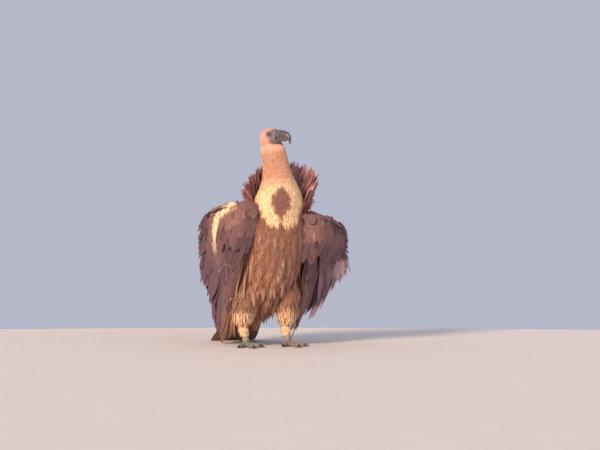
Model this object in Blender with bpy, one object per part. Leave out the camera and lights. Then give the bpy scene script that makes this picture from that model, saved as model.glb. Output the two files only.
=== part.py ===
"""A griffon vulture, life size, standing with its wings drooped away from the body.

Metres, +Z up. The bird faces -Y and its left side is at +X. It is laid out with the floor at z = 0 and the
point between its feet at x = y = 0, and at the end moved so that the origin is at the bottom centre of its box.
"""

import math

import bmesh
import bpy
from mathutils import Matrix, Vector

GAP = 0.0004  # clearance between neighbouring pieces
BODY_CENTRE = Vector((0.0, 0.0, 0.40))  # the wings' outer faces look away from here

# The spine from tail base to skull: x, y, z, half width, depth to the front, depth to the back.
SPINE = (
    (0.000, 0.214, 0.158, 0.040, 0.018, 0.018),
    (0.000, 0.170, 0.186, 0.076, 0.072, 0.042),
    (0.002, 0.112, 0.222, 0.108, 0.116, 0.072),
    (0.004, 0.047, 0.283, 0.128, 0.132, 0.098),
    (0.006, -0.003, 0.360, 0.134, 0.126, 0.108),
    (0.008, -0.043, 0.435, 0.130, 0.116, 0.104),
    (0.009, -0.073, 0.500, 0.114, 0.100, 0.092),
    (0.010, -0.093, 0.558, 0.099, 0.080, 0.076),
    (0.009, -0.101, 0.612, 0.077, 0.064, 0.062),
    (0.000, -0.103, 0.668, 0.056, 0.052, 0.051),
    (-0.007, -0.094, 0.720, 0.050, 0.045, 0.043),
    (-0.011, -0.085, 0.758, 0.048, 0.040, 0.038),
    (-0.013, -0.084, 0.788, 0.031, 0.028, 0.026),
)
TRUNK_END, CROP_END = 6.7, 9.3  # where the spine is parted, counted in rows

HEAD_AT = Vector((-0.015, -0.097, 0.804))  # between the eyes
HEAD_TURN, HEAD_LIFT = math.radians(27), math.radians(3)  # to the bird's left, and up
# Skull along its own forward direction: forward, half width, top, bottom.
SKULL = (
    (-0.0530, 0.0060, 0.006, -0.010),
    (-0.0500, 0.0150, 0.014, -0.018),
    (-0.0420, 0.0245, 0.021, -0.028),
    (-0.0280, 0.0320, 0.028, -0.037),
    (-0.0110, 0.0345, 0.031, -0.040),
    (0.0050, 0.0325, 0.030, -0.037),
    (0.0170, 0.0265, 0.026, -0.031),
    (0.0260, 0.0210, 0.022, -0.025),
)
EYE_AT, EYE_RADIUS = (0.0050, 0.0245, 0.0080), 0.0090  # forward, aside, up
# Upper bill: forward, up, half width, half depth, from the cere's root to the hook's tip.
UPPER_BILL = (
    (0.0264, 0.0070, 0.0168, 0.0160),
    (0.0400, 0.0068, 0.0155, 0.0150),
    (0.0560, 0.0056, 0.0132, 0.0142),
    (0.0700, 0.0022, 0.0108, 0.0125),
    (0.0805, -0.0050, 0.0082, 0.0096),
    (0.0862, -0.0150, 0.0054, 0.0066),
    (0.0870, -0.0250, 0.0032, 0.0040),
    (0.0852, -0.0335, 0.0012, 0.0014),
)
CERE_END = 1.45  # rows of UPPER_BILL that the cere covers
LOWER_BILL = (
    (0.0264, -0.0135, 0.0140, 0.0098),
    (0.0420, -0.0135, 0.0122, 0.0098),
    (0.0580, -0.0132, 0.0100, 0.0092),
    (0.0690, -0.0130, 0.0072, 0.0074),
    (0.0770, -0.0136, 0.0040, 0.0044),
)

# Ruff: angle round the neck in degrees from the front towards the bird's left,
# then radius and height of its root, and radius and height of its tips.
RUFF_CENTRE = (0.010, -0.098)
RUFF = (
    (62, 0.090, 0.515, 0.132, 0.560),
    (78, 0.090, 0.515, 0.158, 0.615),
    (95, 0.088, 0.520, 0.176, 0.665),
    (118, 0.090, 0.525, 0.168, 0.698),
    (145, 0.098, 0.535, 0.132, 0.705),
    (180, 0.108, 0.540, 0.116, 0.700),
    (212, 0.098, 0.535, 0.098, 0.688),
    (236, 0.090, 0.525, 0.116, 0.655),
    (254, 0.088, 0.520, 0.136, 0.610),
    (270, 0.088, 0.515, 0.128, 0.572),
    (284, 0.090, 0.515, 0.108, 0.550),
)
RUFF_SPIKES = 16

# A wing is two sheets of feathers. Each row: root xyz, tip xyz, and how far the middle bows.
# The mantle sheet runs from the spine over the elbow to the wrist, the hand sheet lies inside it.
WINGS = {
    "right": {
        "mantle": (
            (-0.026, 0.030, 0.540, -0.034, 0.182, 0.295, -0.008, 0.018, 0.016),
            (-0.118, 0.082, 0.530, -0.104, 0.244, 0.235, -0.012, 0.022, 0.020),
            (-0.192, 0.110, 0.502, -0.136, 0.280, 0.200, -0.022, 0.010, 0.012),
            (-0.212, 0.006, 0.528, -0.172, 0.203, 0.225, -0.010, 0.000, 0.004),
            (-0.158, -0.104, 0.560, -0.166, 0.165, 0.130, -0.022, -0.024, -0.010),
        ),
        "hand": (
            (-0.190, 0.020, 0.440, -0.128, 0.278, 0.085, -0.018, -0.020, -0.010),
            (-0.158, -0.070, 0.480, -0.112, 0.262, 0.040, -0.034, -0.045, -0.022),
            (-0.112, -0.128, 0.510, -0.098, 0.244, -0.012, -0.043, -0.060, -0.030),
        ),
        "stray": {1: (-0.018, 0.000, 0.006), 4: (-0.014, 0.0, 0.004), 7: (-0.012, 0.0, 0.0)},
    },
    "left": {
        "mantle": (
            (0.026, 0.030, 0.538, 0.040, 0.182, 0.290, 0.008, 0.018, 0.016),
            (0.140, 0.082, 0.512, 0.160, 0.246, 0.222, 0.012, 0.022, 0.020),
            (0.258, 0.106, 0.454, 0.312, 0.236, 0.205, 0.020, 0.012, 0.014),
            (0.282, 0.012, 0.466, 0.352, 0.150, 0.250, 0.018, 0.000, 0.006),
            (0.176, -0.100, 0.500, 0.222, 0.130, 0.120, 0.012, -0.024, -0.008),
        ),
        "hand": (
            (0.214, 0.026, 0.400, 0.214, 0.262, 0.080, 0.018, -0.020, -0.010),
            (0.166, -0.066, 0.430, 0.190, 0.250, 0.040, 0.016, -0.040, -0.022),
            (0.112, -0.122, 0.480, 0.168, 0.238, -0.012, 0.008, -0.045, -0.030),
        ),
        "stray": {3: (0.018, -0.008, 0.006), 5: (0.022, 0.0, 0.0)},
    },
}
# The muscle and feathers over the upper arm: distance aside, y, z, half depth, half height.
SHOULDER = {
    "right": (
        (0.055, -0.020, 0.496, 0.074, 0.046),
        (0.100, 0.000, 0.496, 0.100, 0.050),
        (0.145, 0.006, 0.492, 0.104, 0.048),
        (0.182, 0.026, 0.482, 0.074, 0.038),
    ),
    "left": (
        (0.055, -0.020, 0.496, 0.074, 0.046),
        (0.110, -0.004, 0.486, 0.098, 0.048),
        (0.172, 0.008, 0.466, 0.092, 0.044),
        (0.232, 0.040, 0.446, 0.060, 0.034),
    ),
}
ELBOW = 0.44  # share of the mantle sheet that is scapulars
COVERT_EDGE = 0.46  # share of a feather line that the fleshy arm reaches
ARM_HALF, BLADE_HALF, TIP_HALF = 0.017, 0.0030, 0.0007  # half thicknesses
SECONDARIES, PRIMARIES, SCAPULARS, COVERTS = 11, 8, 6, 8  # feather tips in each fan

TAIL_FEATHERS = 12
# Tail from root to tip along the middle: y, z, half width, half thickness.
TAIL = (
    (0.2130, 0.1585, 0.038, 0.0160),
    (0.2650, 0.1160, 0.052, 0.0120),
    (0.3250, 0.0660, 0.066, 0.0065),
    (0.3800, 0.0240, 0.078, 0.0030),
    (0.4150, 0.0006, 0.084, 0.0016),
    (0.4400, 0.0006, 0.086, 0.0012),
)

LEG_ASIDE, LEG_Y = 0.084, 0.012  # the foot's ball
# Trouser feathers: distance aside, y, z, half width, half depth.
THIGH = (
    (0.074, 0.040, 0.275, 0.054, 0.066),
    (0.081, 0.034, 0.225, 0.059, 0.080),
    (0.084, 0.030, 0.175, 0.058, 0.078),
    (0.086, 0.032, 0.130, 0.047, 0.061),
    (0.086, 0.038, 0.100, 0.031, 0.038),
    (0.085, 0.042, 0.082, 0.020, 0.022),
)
SHANK = (
    (0.085, 0.0420, 0.0816, 0.0150, 0.0170),
    (0.085, 0.0350, 0.0620, 0.0125, 0.0145),
    (0.084, 0.0240, 0.0400, 0.0120, 0.0140),
    (0.084, 0.0150, 0.0240, 0.0135, 0.0160),
)
BALL_RADIUS = 0.0165
# Toes: heading in degrees out from forward, length, radius at root and tip.
TOES = {
    "inner": (-34, 0.066, 0.0100, 0.0078),
    "middle": (4, 0.104, 0.0098, 0.0074),
    "outer": (40, 0.074, 0.0092, 0.0070),
    "hind": (186, 0.046, 0.0090, 0.0075),
}
CLAW_LENGTH = 0.024


# ---- shared helpers -------------------------------------------------------------------------------

def clear_scene():
    for thing in list(bpy.data.objects):
        bpy.data.objects.remove(thing, do_unlink=True)


def finish(name, colour, roughness, metallic=0.0):
    """One Principled material."""
    made = bpy.data.materials.get(name) or bpy.data.materials.new(name)
    made.use_nodes = True
    surface = made.node_tree.nodes["Principled BSDF"]
    surface.inputs["Base Color"].default_value = (*colour, 1.0)
    surface.inputs["Roughness"].default_value = roughness
    surface.inputs["Metallic"].default_value = metallic
    return made


def along(rows, t):
    """Catmull-Rom curve through rows of numbers, where t counts rows from 0."""
    last = len(rows) - 1
    i = max(0, min(int(t), last - 1))
    f = t - i
    a, b, c, d = (rows[max(0, min(last, i + k))] for k in (-1, 0, 1, 2))
    return [
        0.5 * (2 * q + (r - p) * f + (2 * p - 5 * q + 4 * r - s) * f**2 + (3 * q - p - 3 * r + s) * f**3)
        for p, q, r, s in zip(a, b, c, d)
    ]


def spread(first, last, count):
    """count numbers evenly from first to last."""
    return [first + (last - first) * k / (count - 1) for k in range(count)]


def add_object(name, shape, material):
    """An object from a bmesh, with its normals facing out."""
    bmesh.ops.recalc_face_normals(shape, faces=shape.faces)
    bmesh.ops.triangulate(shape, faces=shape.faces)  # so that a cutter's copy has the same facets
    mesh = bpy.data.meshes.new(name)
    shape.to_mesh(mesh)
    shape.free()
    mesh.materials.append(material)
    mesh.shade_smooth()
    mesh.set_sharp_from_angle(angle=math.radians(40))
    made = bpy.data.objects.new(name, mesh)
    bpy.context.scene.collection.objects.link(made)
    return made


def loft(name, rings, material):
    """A closed solid through rings of points, flat at both ends."""
    shape = bmesh.new()
    loops = [[shape.verts.new(p) for p in ring] for ring in rings]
    count = len(loops[0])
    for low, high in zip(loops, loops[1:]):
        for k in range(count):
            n = (k + 1) % count
            shape.faces.new((low[k], low[n], high[n], high[k]))
    shape.faces.new(loops[0])
    shape.faces.new(loops[-1])
    return add_object(name, shape, material)


def plate(name, outer, inner, material):
    """A closed sheet between two grids of points, joined round the rim."""
    shape = bmesh.new()
    faces = [[[shape.verts.new(p) for p in row] for row in grid] for grid in (outer, inner)]
    rows, columns = len(outer), len(outer[0])
    for grid in faces:
        for i in range(rows - 1):
            for j in range(columns - 1):
                shape.faces.new((grid[i][j], grid[i + 1][j], grid[i + 1][j + 1], grid[i][j + 1]))
    rim = [(i, 0) for i in range(rows)] + [(rows - 1, j) for j in range(1, columns)]
    rim += [(i, columns - 1) for i in range(rows - 2, -1, -1)] + [(0, j) for j in range(columns - 2, 0, -1)]
    for (i, j), (k, m) in zip(rim, rim[1:] + rim[:1]):
        shape.faces.new((faces[0][i][j], faces[0][k][m], faces[1][k][m], faces[1][i][j]))
    bmesh.ops.remove_doubles(shape, verts=shape.verts, dist=1e-5)
    return add_object(name, shape, material)


def carve(target, *others):
    """Cuts the others, grown by the gap, out of the target."""
    for other in others:
        cutter = other.copy()
        cutter.data = other.data.copy()
        cutter.name = "cutter_" + target.name + "_" + other.name
        bpy.context.scene.collection.objects.link(cutter)
        grow = cutter.modifiers.new("grow", "DISPLACE")
        grow.strength = GAP
        grow.mid_level = 0.0
        cutter.hide_render = True
        cutter.display_type = "WIRE"
        cut = target.modifiers.new("cut_" + other.name, "BOOLEAN")
        cut.operation = "DIFFERENCE"
        cut.solver = "EXACT"
        cut.object = cutter


def join(target, *others):
    """Unites the others with the target, and hides them."""
    for other in others:
        other.hide_render = True
        other.display_type = "WIRE"
        union = target.modifiers.new("join_" + other.name, "BOOLEAN")
        union.operation = "UNION"
        union.solver = "EXACT"
        union.object = other


# ---- neck, crop and trunk -------------------------------------------------------------------------

def body_ring(t, segments=18):
    """The outline of the body across its spine at row t."""
    x, y, z, half_width, front_depth, back_depth = along(SPINE, t)
    last = len(SPINE) - 1
    ahead = Vector(along(SPINE, min(t + 0.1, last))[:3]) - Vector(along(SPINE, max(t - 0.1, 0))[:3])
    side = Vector((1, 0, 0))
    front = side.cross(ahead).normalized()
    ring = []
    for k in range(segments):
        a = math.tau * k / segments
        depth = front_depth if math.cos(a) > 0 else back_depth
        ring.append(Vector((x, y, z)) + side * half_width * math.sin(a) + front * depth * math.cos(a))
    return ring


def make_body(skin):
    parting = 0.005  # rows, about 0.3 mm
    last = len(SPINE) - 1
    trunk = loft("trunk", [body_ring(t) for t in spread(0, TRUNK_END, 12)], skin)
    crop_rings = [body_ring(t) for t in spread(TRUNK_END + parting, CROP_END, 5)]
    crop = loft("crop", crop_rings, skin)
    neck_rings = [body_ring(t, 16) for t in spread(CROP_END + parting, last, 6)]
    neck = loft("neck", neck_rings, skin)
    return trunk, crop, neck


# ---- head -----------------------------------------------------------------------------------------

def head_matrix():
    """From the skull's frame (forward -Y, up +Z) to the bird's."""
    turn = Matrix.Rotation(HEAD_TURN, 4, "Z")
    lift = Matrix.Rotation(-HEAD_LIFT, 4, "X")
    return Matrix.Translation(HEAD_AT) @ turn @ lift


def skull_ring(forward, half_width, top, bottom, segments=16, square=2.25):
    """A rounded outline across the skull."""
    ring = []
    middle, half = (top + bottom) / 2, (top - bottom) / 2
    for k in range(segments):
        a = math.tau * k / segments
        s, c = math.sin(a), math.cos(a)
        across = math.copysign(abs(s) ** (2 / square), s)
        up = math.copysign(abs(c) ** (2 / square), c)
        ring.append(Vector((half_width * across, -forward, middle + half * up)))
    return ring


def bill_ring(rows, t, segments=12, square=2.9):
    """A squarish outline across a bill's curved middle line."""
    forward, up, half_width, half_depth = along(rows, t)
    last = len(rows) - 1
    ahead, behind = along(rows, min(t + 0.1, last)), along(rows, max(t - 0.1, 0))
    line = Vector((0, behind[0] - ahead[0], ahead[1] - behind[1])).normalized()
    if t == 0:
        line = Vector((0, -1, 0))
    side = Vector((1, 0, 0))
    high = line.cross(side)
    ring = []
    for k in range(segments):
        a = math.tau * k / segments
        across = math.copysign(abs(math.sin(a)) ** (2 / square), math.sin(a))
        rise = math.copysign(abs(math.cos(a)) ** (2 / square), math.cos(a))
        rise = rise if math.cos(a) < 0 else math.cos(a)  # the ridge stays round
        ring.append(Vector((0, -forward, up)) + side * half_width * across + high * half_depth * rise)
    return ring


def make_head(skin, horn, cere_skin, glossy):
    place = head_matrix()
    rows = [along(SKULL, t) for t in spread(0, len(SKULL) - 1, 10)]
    head = loft("head", [skull_ring(*row) for row in rows], skin)
    parting = 0.03  # rows, about 0.4 mm
    last = len(UPPER_BILL) - 1
    cere = loft("cere", [bill_ring(UPPER_BILL, t) for t in spread(0, CERE_END, 4)], cere_skin)
    hook = [bill_ring(UPPER_BILL, t) for t in spread(CERE_END + parting, last, 10)]
    bill_upper = loft("bill_upper", hook, horn)
    chin = [bill_ring(LOWER_BILL, t, 10) for t in spread(0, len(LOWER_BILL) - 1, 6)]
    bill_lower = loft("bill_lower", chin, horn)
    carve(bill_lower, cere, bill_upper, head)
    eyes = []
    for side, sign in (("right", -1), ("left", 1)):
        shape = bmesh.new()
        bmesh.ops.create_uvsphere(shape, u_segments=10, v_segments=7, radius=EYE_RADIUS)
        forward, aside, up = EYE_AT
        bmesh.ops.translate(shape, verts=shape.verts, vec=(sign * aside, -forward, up))
        eyes.append(add_object("eye_" + side, shape, glossy))
    carve(head, *eyes)
    for made in [head, cere, bill_upper, bill_lower, *eyes]:
        made.data.transform(place)
    for cutter in [o for o in bpy.data.objects if o.name.startswith(("cutter_head", "cutter_bill"))]:
        cutter.data.transform(place)
    return head


# ---- ruff -----------------------------------------------------------------------------------------

def make_ruff(feather, *inside):
    """A collar of long feathers, open in front, ending in spikes."""
    outer, inner = [], []
    for k in range(2 * RUFF_SPIKES + 1):
        t = (len(RUFF) - 1) * k / (2 * RUFF_SPIKES)
        angle, root_radius, root_z, tip_radius, tip_z = along(RUFF, t)
        notch = 0.80 if k % 2 == 0 else 1.0 + 0.05 * math.sin(5.0 * k)
        a = math.radians(angle)
        away = Vector((math.sin(a), -math.cos(a), 0))
        up = Vector((0, 0, 1))
        centre = Vector((*RUFF_CENTRE, 0))
        column = ([], [])
        for v in (0.0, 0.45, 1.0):
            reach = v * notch
            radius = root_radius + (tip_radius - root_radius) * reach**1.3
            height = root_z + (tip_z - root_z) * reach
            half = 0.011 * (1 - reach) + 0.0012
            spot = centre + away * radius + up * height
            column[0].append(spot + away * half)
            column[1].append(spot - away * half)
        outer.append(column[0])
        inner.append(column[1])
    ruff = plate("ruff", outer, inner, feather)
    carve(ruff, *inside)
    return ruff


# ---- wings ----------------------------------------------------------------------------------------

def sheet_point(rows, u, v):
    """A point of a wing's sheet: u runs across the feathers, v from their roots to their tips."""
    row = along(rows, u * (len(rows) - 1))
    root, tip, bow = Vector(row[0:3]), Vector(row[3:6]), Vector(row[6:9])
    return root.lerp(tip, v) + bow * 4 * v * (1 - v)


def sheet_normal(rows, u, v):
    """The sheet's outward direction."""
    step = 0.01
    across = sheet_point(rows, min(u + step, 1), v) - sheet_point(rows, max(u - step, 0), v)
    down = sheet_point(rows, u, v + step) - sheet_point(rows, u, v - step)
    normal = across.cross(down).normalized()
    return normal if normal.dot(sheet_point(rows, u, v) - BODY_CENTRE) > 0 else -normal


def rounded(share):
    """A quarter round: 0 at the rim, 1 from share 1 on."""
    share = max(0.0, min(1.0, share))
    return math.sqrt(1 - (1 - share) ** 2)


def half_thickness(u, v, thickest):
    """Thick over the bones, thin as a feather at the tips, rounded at the leading edges."""
    fade = max(0.0, min(1.0, (v - 0.08) / (COVERT_EDGE - 0.08)))
    fade = fade * fade * (3 - 2 * fade)
    half = thickest + (BLADE_HALF - thickest) * fade
    if v > COVERT_EDGE:
        half = BLADE_HALF + (TIP_HALF - BLADE_HALF) * (v - COVERT_EDGE) / (1 - COVERT_EDGE)
    rim = rounded(v / 0.14) * (0.15 + 0.85 * rounded((1 - u) / 0.10)) * (0.15 + 0.85 * rounded(u / 0.10))
    return max(half * rim, TIP_HALF)


def flesh(name, rows, us, vs, thickest, material):
    """The thick part of a wing sheet."""
    outer, inner = [], []
    for u in us:
        spots = [(sheet_point(rows, u, v), sheet_normal(rows, u, v), half_thickness(u, v, thickest)) for v in vs]
        outer.append([p + n * h for p, n, h in spots])
        inner.append([p - n * h for p, n, h in spots])
    return plate(name, outer, inner, material)


def fan(name, rows, span, start, feathers, notch, material, thickest=ARM_HALF, lift=None, stray=None, levels=4):
    """The feathered part of a wing sheet, with one spike for each feather.

    lift(v) raises the whole fan off the sheet, and stray moves single tips.
    """
    outer, inner = [], []
    for k in range(2 * feathers + 1):
        u = span[0] + (span[1] - span[0]) * k / (2 * feathers)
        is_tip = k % 2 == 1
        end = 1.0 + 0.035 * math.sin(3.7 * k) if is_tip else 1.0 - notch
        aside = Vector((stray or {}).get(k // 2, (0, 0, 0))) if is_tip else Vector()
        column = ([], [])
        for share in spread(0, 1, levels):
            v = start + (end - start) * share
            point, normal = sheet_point(rows, u, v), sheet_normal(rows, u, v)
            half = half_thickness(u, v, thickest)
            if lift:
                raised = half + lift(share)
                top, bottom = raised + 2 * BLADE_HALF * (1 - share) + 2 * TIP_HALF, raised + GAP
            else:
                top, bottom = half, -half
            column[0].append(point + normal * top + aside * share**2)
            column[1].append(point + normal * bottom + aside * share**2)
        outer.append(column[0])
        inner.append(column[1])
    return plate(name, outer, inner, material)


def make_wing(side, skin, quill, trunk, crop, thigh):
    wing = WINGS[side]
    mantle, hand = wing["mantle"], wing["hand"]
    first = "wing_" + side + "_"
    part = 0.0014  # share of a sheet, about 0.4 mm
    levels = [0.0, 0.03, 0.08, 0.16, 0.30, COVERT_EDGE - part]
    arm = flesh(first + "arm", mantle, spread(ELBOW + part, 1, 11), levels, ARM_HALF, skin)
    scapulars = fan(
        first + "scapulars", mantle, (0.0, ELBOW - part), 0.0, SCAPULARS, 0.10, skin, ARM_HALF, levels=6
    )
    secondaries = fan(
        first + "secondaries", mantle, (ELBOW + part, 1), COVERT_EDGE + part, SECONDARIES, 0.10, quill,
        stray=wing["stray"],
    )
    short = tuple(shorten(row, 0.64) for row in mantle)
    coverts = fan(
        first + "coverts", short, (ELBOW + 0.03, 0.97), 0.42, COVERTS, 0.12, skin, 0.012,
        lift=lambda share: 0.003 + 0.009 * share**2, levels=4,
    )
    palm = flesh(first + "hand", hand, spread(0, 1, 7), levels, 0.011, skin)
    primaries = fan(first + "primaries", hand, (0, 1), COVERT_EDGE + part, PRIMARIES, 0.07, quill)
    carve(arm, trunk, crop)
    carve(secondaries, arm)
    carve(scapulars, trunk, crop)
    carve(coverts, arm, secondaries)
    carve(palm, trunk, crop, thigh, arm, secondaries, scapulars)
    carve(primaries, trunk, thigh, arm, secondaries, scapulars)
    return arm, scapulars, secondaries, coverts, palm, primaries


def make_shoulder(side, sign, skin, *around):
    """Fills the space between the trunk and the raised arm."""
    rings = []
    rows = SHOULDER[side]
    for t in spread(0, len(rows) - 1, 5):
        aside, y, z, half_depth, half_height = along(rows, t)
        rings.append([
            Vector((sign * aside, y - half_depth * math.cos(a), z + half_height * math.sin(a)))
            for a in (math.tau * k / 10 for k in range(10))
        ])
    carve(loft("shoulder_" + side, rings, skin), *around)


def shorten(row, share):
    """A sheet's row with its tip moved back along the feather."""
    root, tip, bow = Vector(row[0:3]), Vector(row[3:6]), Vector(row[6:9])
    end = root.lerp(tip, share) + bow * 4 * share * (1 - share)
    return (*root, *end, *(bow * share**2))


# ---- tail -----------------------------------------------------------------------------------------

def make_tail(quill, trunk):
    """A closed fan of feathers that bends flat onto the floor at its tips."""
    outer, inner = [], []
    for k in range(2 * TAIL_FEATHERS + 1):
        across = -1 + k / TAIL_FEATHERS
        is_tip = k % 2 == 1
        end = 1.0 - 0.05 * abs(across) if is_tip else 0.93 - 0.05 * abs(across)
        column = ([], [])
        for share in (0.0, 0.28, 0.55, 0.80, 1.0):
            y, z, half_width, half = along(TAIL, (len(TAIL) - 1) * share * end)
            droop = 0.016 * across**2 * (1 - share)
            spot = Vector((half_width * across, y, z - droop))
            up = Vector((0, 0.45 * (1 - share), 1)).normalized()
            low = spot - up * half
            low.z = max(low.z, 0.0)
            column[0].append(spot + up * half)
            column[1].append(low)
        outer.append(column[0])
        inner.append(column[1])
    tail = plate("tail", outer, inner, quill)
    carve(tail, trunk)
    return tail


# ---- legs -----------------------------------------------------------------------------------------

def leg_rings(rows, sign, count, segments=14):
    rings = []
    for t in spread(0, len(rows) - 1, count):
        aside, y, z, half_width, half_depth = along(rows, t)
        rings.append([
            Vector((sign * aside + half_width * math.sin(a), y - half_depth * math.cos(a), z))
            for a in (math.tau * k / segments for k in range(segments))
        ])
    return rings


def toe_rings(start, heading, length, root, tip, count=4, segments=7):
    """A toe lying on the floor, its underside flat but for its root and its end."""
    rings = []
    ahead = Vector((math.sin(heading), -math.cos(heading), 0))
    side = Vector((0, 0, 1)).cross(ahead)
    for t in spread(0, 1, count):
        radius = root + (tip - root) * t
        knuckle = 1 + 0.10 * math.sin(3 * math.pi * t) ** 2
        floor = 0.004 * max(0.0, 1 - 4 * t)
        centre = start + ahead * length * t + Vector((0, 0, radius * 0.86))
        ring = []
        for k in range(segments):
            a = math.tau * k / segments
            point = centre + side * radius * knuckle * math.sin(a) + Vector((0, 0, radius * math.cos(a)))
            point.z = max(point.z, floor)
            ring.append(point)
        rings.append(ring)
    return rings


def claw_rings(start, heading, radius, length, count=4, segments=6):
    """A short blunt claw that curves down to just above the floor."""
    rings = []
    for t in spread(0, 1, count):
        bend = 0.9 * t
        ahead = Vector((math.sin(heading), -math.cos(heading), 0))
        reach = length * math.sin(bend) / 0.9
        height = radius * (0.95 - 0.15 * t) - 0.35 * radius * t**2
        thin = radius * (0.82 - 0.66 * t)
        centre = start + ahead * reach + Vector((0, 0, height))
        line = (ahead * math.cos(bend * 0.6) - Vector((0, 0, math.sin(bend * 0.6)))).normalized()
        side = Vector((0, 0, 1)).cross(ahead)
        high = line.cross(side).normalized()
        ring = []
        for k in range(segments):
            a = math.tau * k / segments
            point = centre + side * thin * 0.8 * math.sin(a) + high * thin * math.cos(a)
            point.z = max(point.z, 0.0004)
            ring.append(point)
        rings.append(ring)
    return rings


def make_leg(side, sign, skin, scale_skin, horn, trunk):
    thigh = loft("thigh_" + side, leg_rings(THIGH, sign, 9), skin)
    carve(thigh, trunk)
    loft("shank_" + side, leg_rings(SHANK, sign, 5, 12), scale_skin)
    ball_at = Vector((sign * LEG_ASIDE, LEG_Y, 0.0))
    shape = bmesh.new()
    bmesh.ops.create_uvsphere(shape, u_segments=10, v_segments=6, radius=BALL_RADIUS)
    for vert in shape.verts:
        vert.co.z = max(vert.co.z * 0.70 + 0.0122, 0.0025)
    bmesh.ops.remove_doubles(shape, verts=shape.verts, dist=1e-5)
    bmesh.ops.translate(shape, verts=shape.verts, vec=ball_at)
    foot = add_object("foot_" + side, shape, scale_skin)
    for name, (heading, length, root, tip) in TOES.items():
        way = math.radians(heading) * sign
        rings = toe_rings(ball_at, way, length, root, tip)
        join(foot, loft("toe_" + side + "_" + name, rings, scale_skin))
        end = ball_at + Vector((math.sin(way), -math.cos(way), 0)) * (length + GAP)
        loft("claw_" + side + "_" + name, claw_rings(end, way, tip, CLAW_LENGTH), horn)
    return thigh


# ---- the whole bird -------------------------------------------------------------------------------

def centre_on_floor():
    """Moves everything so that the origin is at the bottom centre of the bird's box."""
    bpy.context.view_layer.update()
    graph = bpy.context.evaluated_depsgraph_get()
    shown = [o for o in bpy.data.objects if o.type == "MESH" and not o.hide_render]
    corners = [Vector(v.co) for o in shown for v in o.evaluated_get(graph).data.vertices]
    middle = [(min(c[i] for c in corners) + max(c[i] for c in corners)) / 2 for i in (0, 1)]
    for mesh in {o.data for o in bpy.data.objects if o.type == "MESH"}:
        mesh.transform(Matrix.Translation((-middle[0], -middle[1], -min(c.z for c in corners))))


def main():
    clear_scene()
    plumage = finish("plumage", (0.36, 0.20, 0.12), 0.85)
    down = finish("down", (0.62, 0.44, 0.33), 0.9)
    quill = finish("quills", (0.08, 0.055, 0.05), 0.6)
    horn = finish("horn", (0.07, 0.065, 0.065), 0.35)
    cere_skin = finish("cere", (0.11, 0.11, 0.12), 0.5)
    scale_skin = finish("scales", (0.30, 0.29, 0.28), 0.6)
    glossy = finish("eye", (0.05, 0.025, 0.01), 0.08)
    trunk, crop, neck = make_body(plumage)
    head = make_head(down, horn, cere_skin, glossy)
    carve(neck, head)
    ruff = make_ruff(plumage, trunk, crop, neck)
    make_tail(quill, trunk)
    for side, sign in (("right", -1), ("left", 1)):
        thigh = make_leg(side, sign, plumage, scale_skin, horn, trunk)
        arm, scapulars, _, _, palm, _ = make_wing(side, plumage, quill, trunk, crop, thigh)
        make_shoulder(side, sign, plumage, trunk, crop, ruff, arm, scapulars, palm)
    for made in (crop, neck):
        made.data.materials[0] = down
    centre_on_floor()


main()
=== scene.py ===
import math

import bpy
import numpy as np
from mathutils import Matrix, Vector
from mathutils.bvhtree import BVHTree


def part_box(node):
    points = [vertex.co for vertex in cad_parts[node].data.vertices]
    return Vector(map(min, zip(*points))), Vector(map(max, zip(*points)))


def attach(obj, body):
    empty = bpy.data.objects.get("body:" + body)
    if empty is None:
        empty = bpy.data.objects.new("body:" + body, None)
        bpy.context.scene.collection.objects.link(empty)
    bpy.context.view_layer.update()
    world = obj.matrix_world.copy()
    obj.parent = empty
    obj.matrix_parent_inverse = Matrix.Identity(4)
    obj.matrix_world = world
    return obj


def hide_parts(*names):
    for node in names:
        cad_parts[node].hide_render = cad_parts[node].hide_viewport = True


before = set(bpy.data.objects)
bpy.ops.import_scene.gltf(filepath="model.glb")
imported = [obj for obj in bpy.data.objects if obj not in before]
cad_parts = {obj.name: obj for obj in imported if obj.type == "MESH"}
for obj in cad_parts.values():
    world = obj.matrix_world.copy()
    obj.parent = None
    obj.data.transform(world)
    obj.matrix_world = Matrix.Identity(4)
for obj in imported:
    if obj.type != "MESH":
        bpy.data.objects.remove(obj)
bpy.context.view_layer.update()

rng = np.random.default_rng(7)


# Plain vector helpers on arrays whose last axis is x, y, z.
def unit(vectors):
    return vectors / np.maximum(np.linalg.norm(vectors, axis=-1, keepdims=True), 1e-9)


def dot(a, b):
    return np.sum(a * b, -1, keepdims=True)


def ease(x, low, high):  # 0 at low, 1 at high, smooth between
    share = np.clip((x - low) / (high - low), 0, 1)
    return share * share * (3 - 2 * share)


def hump(x, centre, width):
    return np.exp(-(((x - centre) / width) ** 2))


def along(rows, t):  # Catmull-Rom through rows of numbers, t counted in rows
    rows, t = np.asarray(rows, float), np.asarray(t, float)
    last = len(rows) - 1
    t = np.clip(t, 0, last)
    i = np.minimum(t.astype(int), last - 1)
    f = (t - i)[..., None]
    p, q, r, s = (rows[np.clip(i + k, 0, last)] for k in (-1, 0, 1, 2))
    return 0.5 * (2 * q + (r - p) * f + (2 * p - 5 * q + 4 * r - s) * f**2 + (3 * q - p - 3 * r + s) * f**3)


def linear(hexColour):  # "#C8A090" to linear red, green, blue
    c = np.array([int(hexColour[k:k + 2], 16) / 255 for k in (1, 3, 5)])
    return np.where(c <= 0.04045, c / 12.92, ((c + 0.055) / 1.055) ** 2.4)


def blend(a, b, share):  # colours a and b mixed, share one number per place
    return a + (b - a) * np.asarray(share)[..., None]


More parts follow.
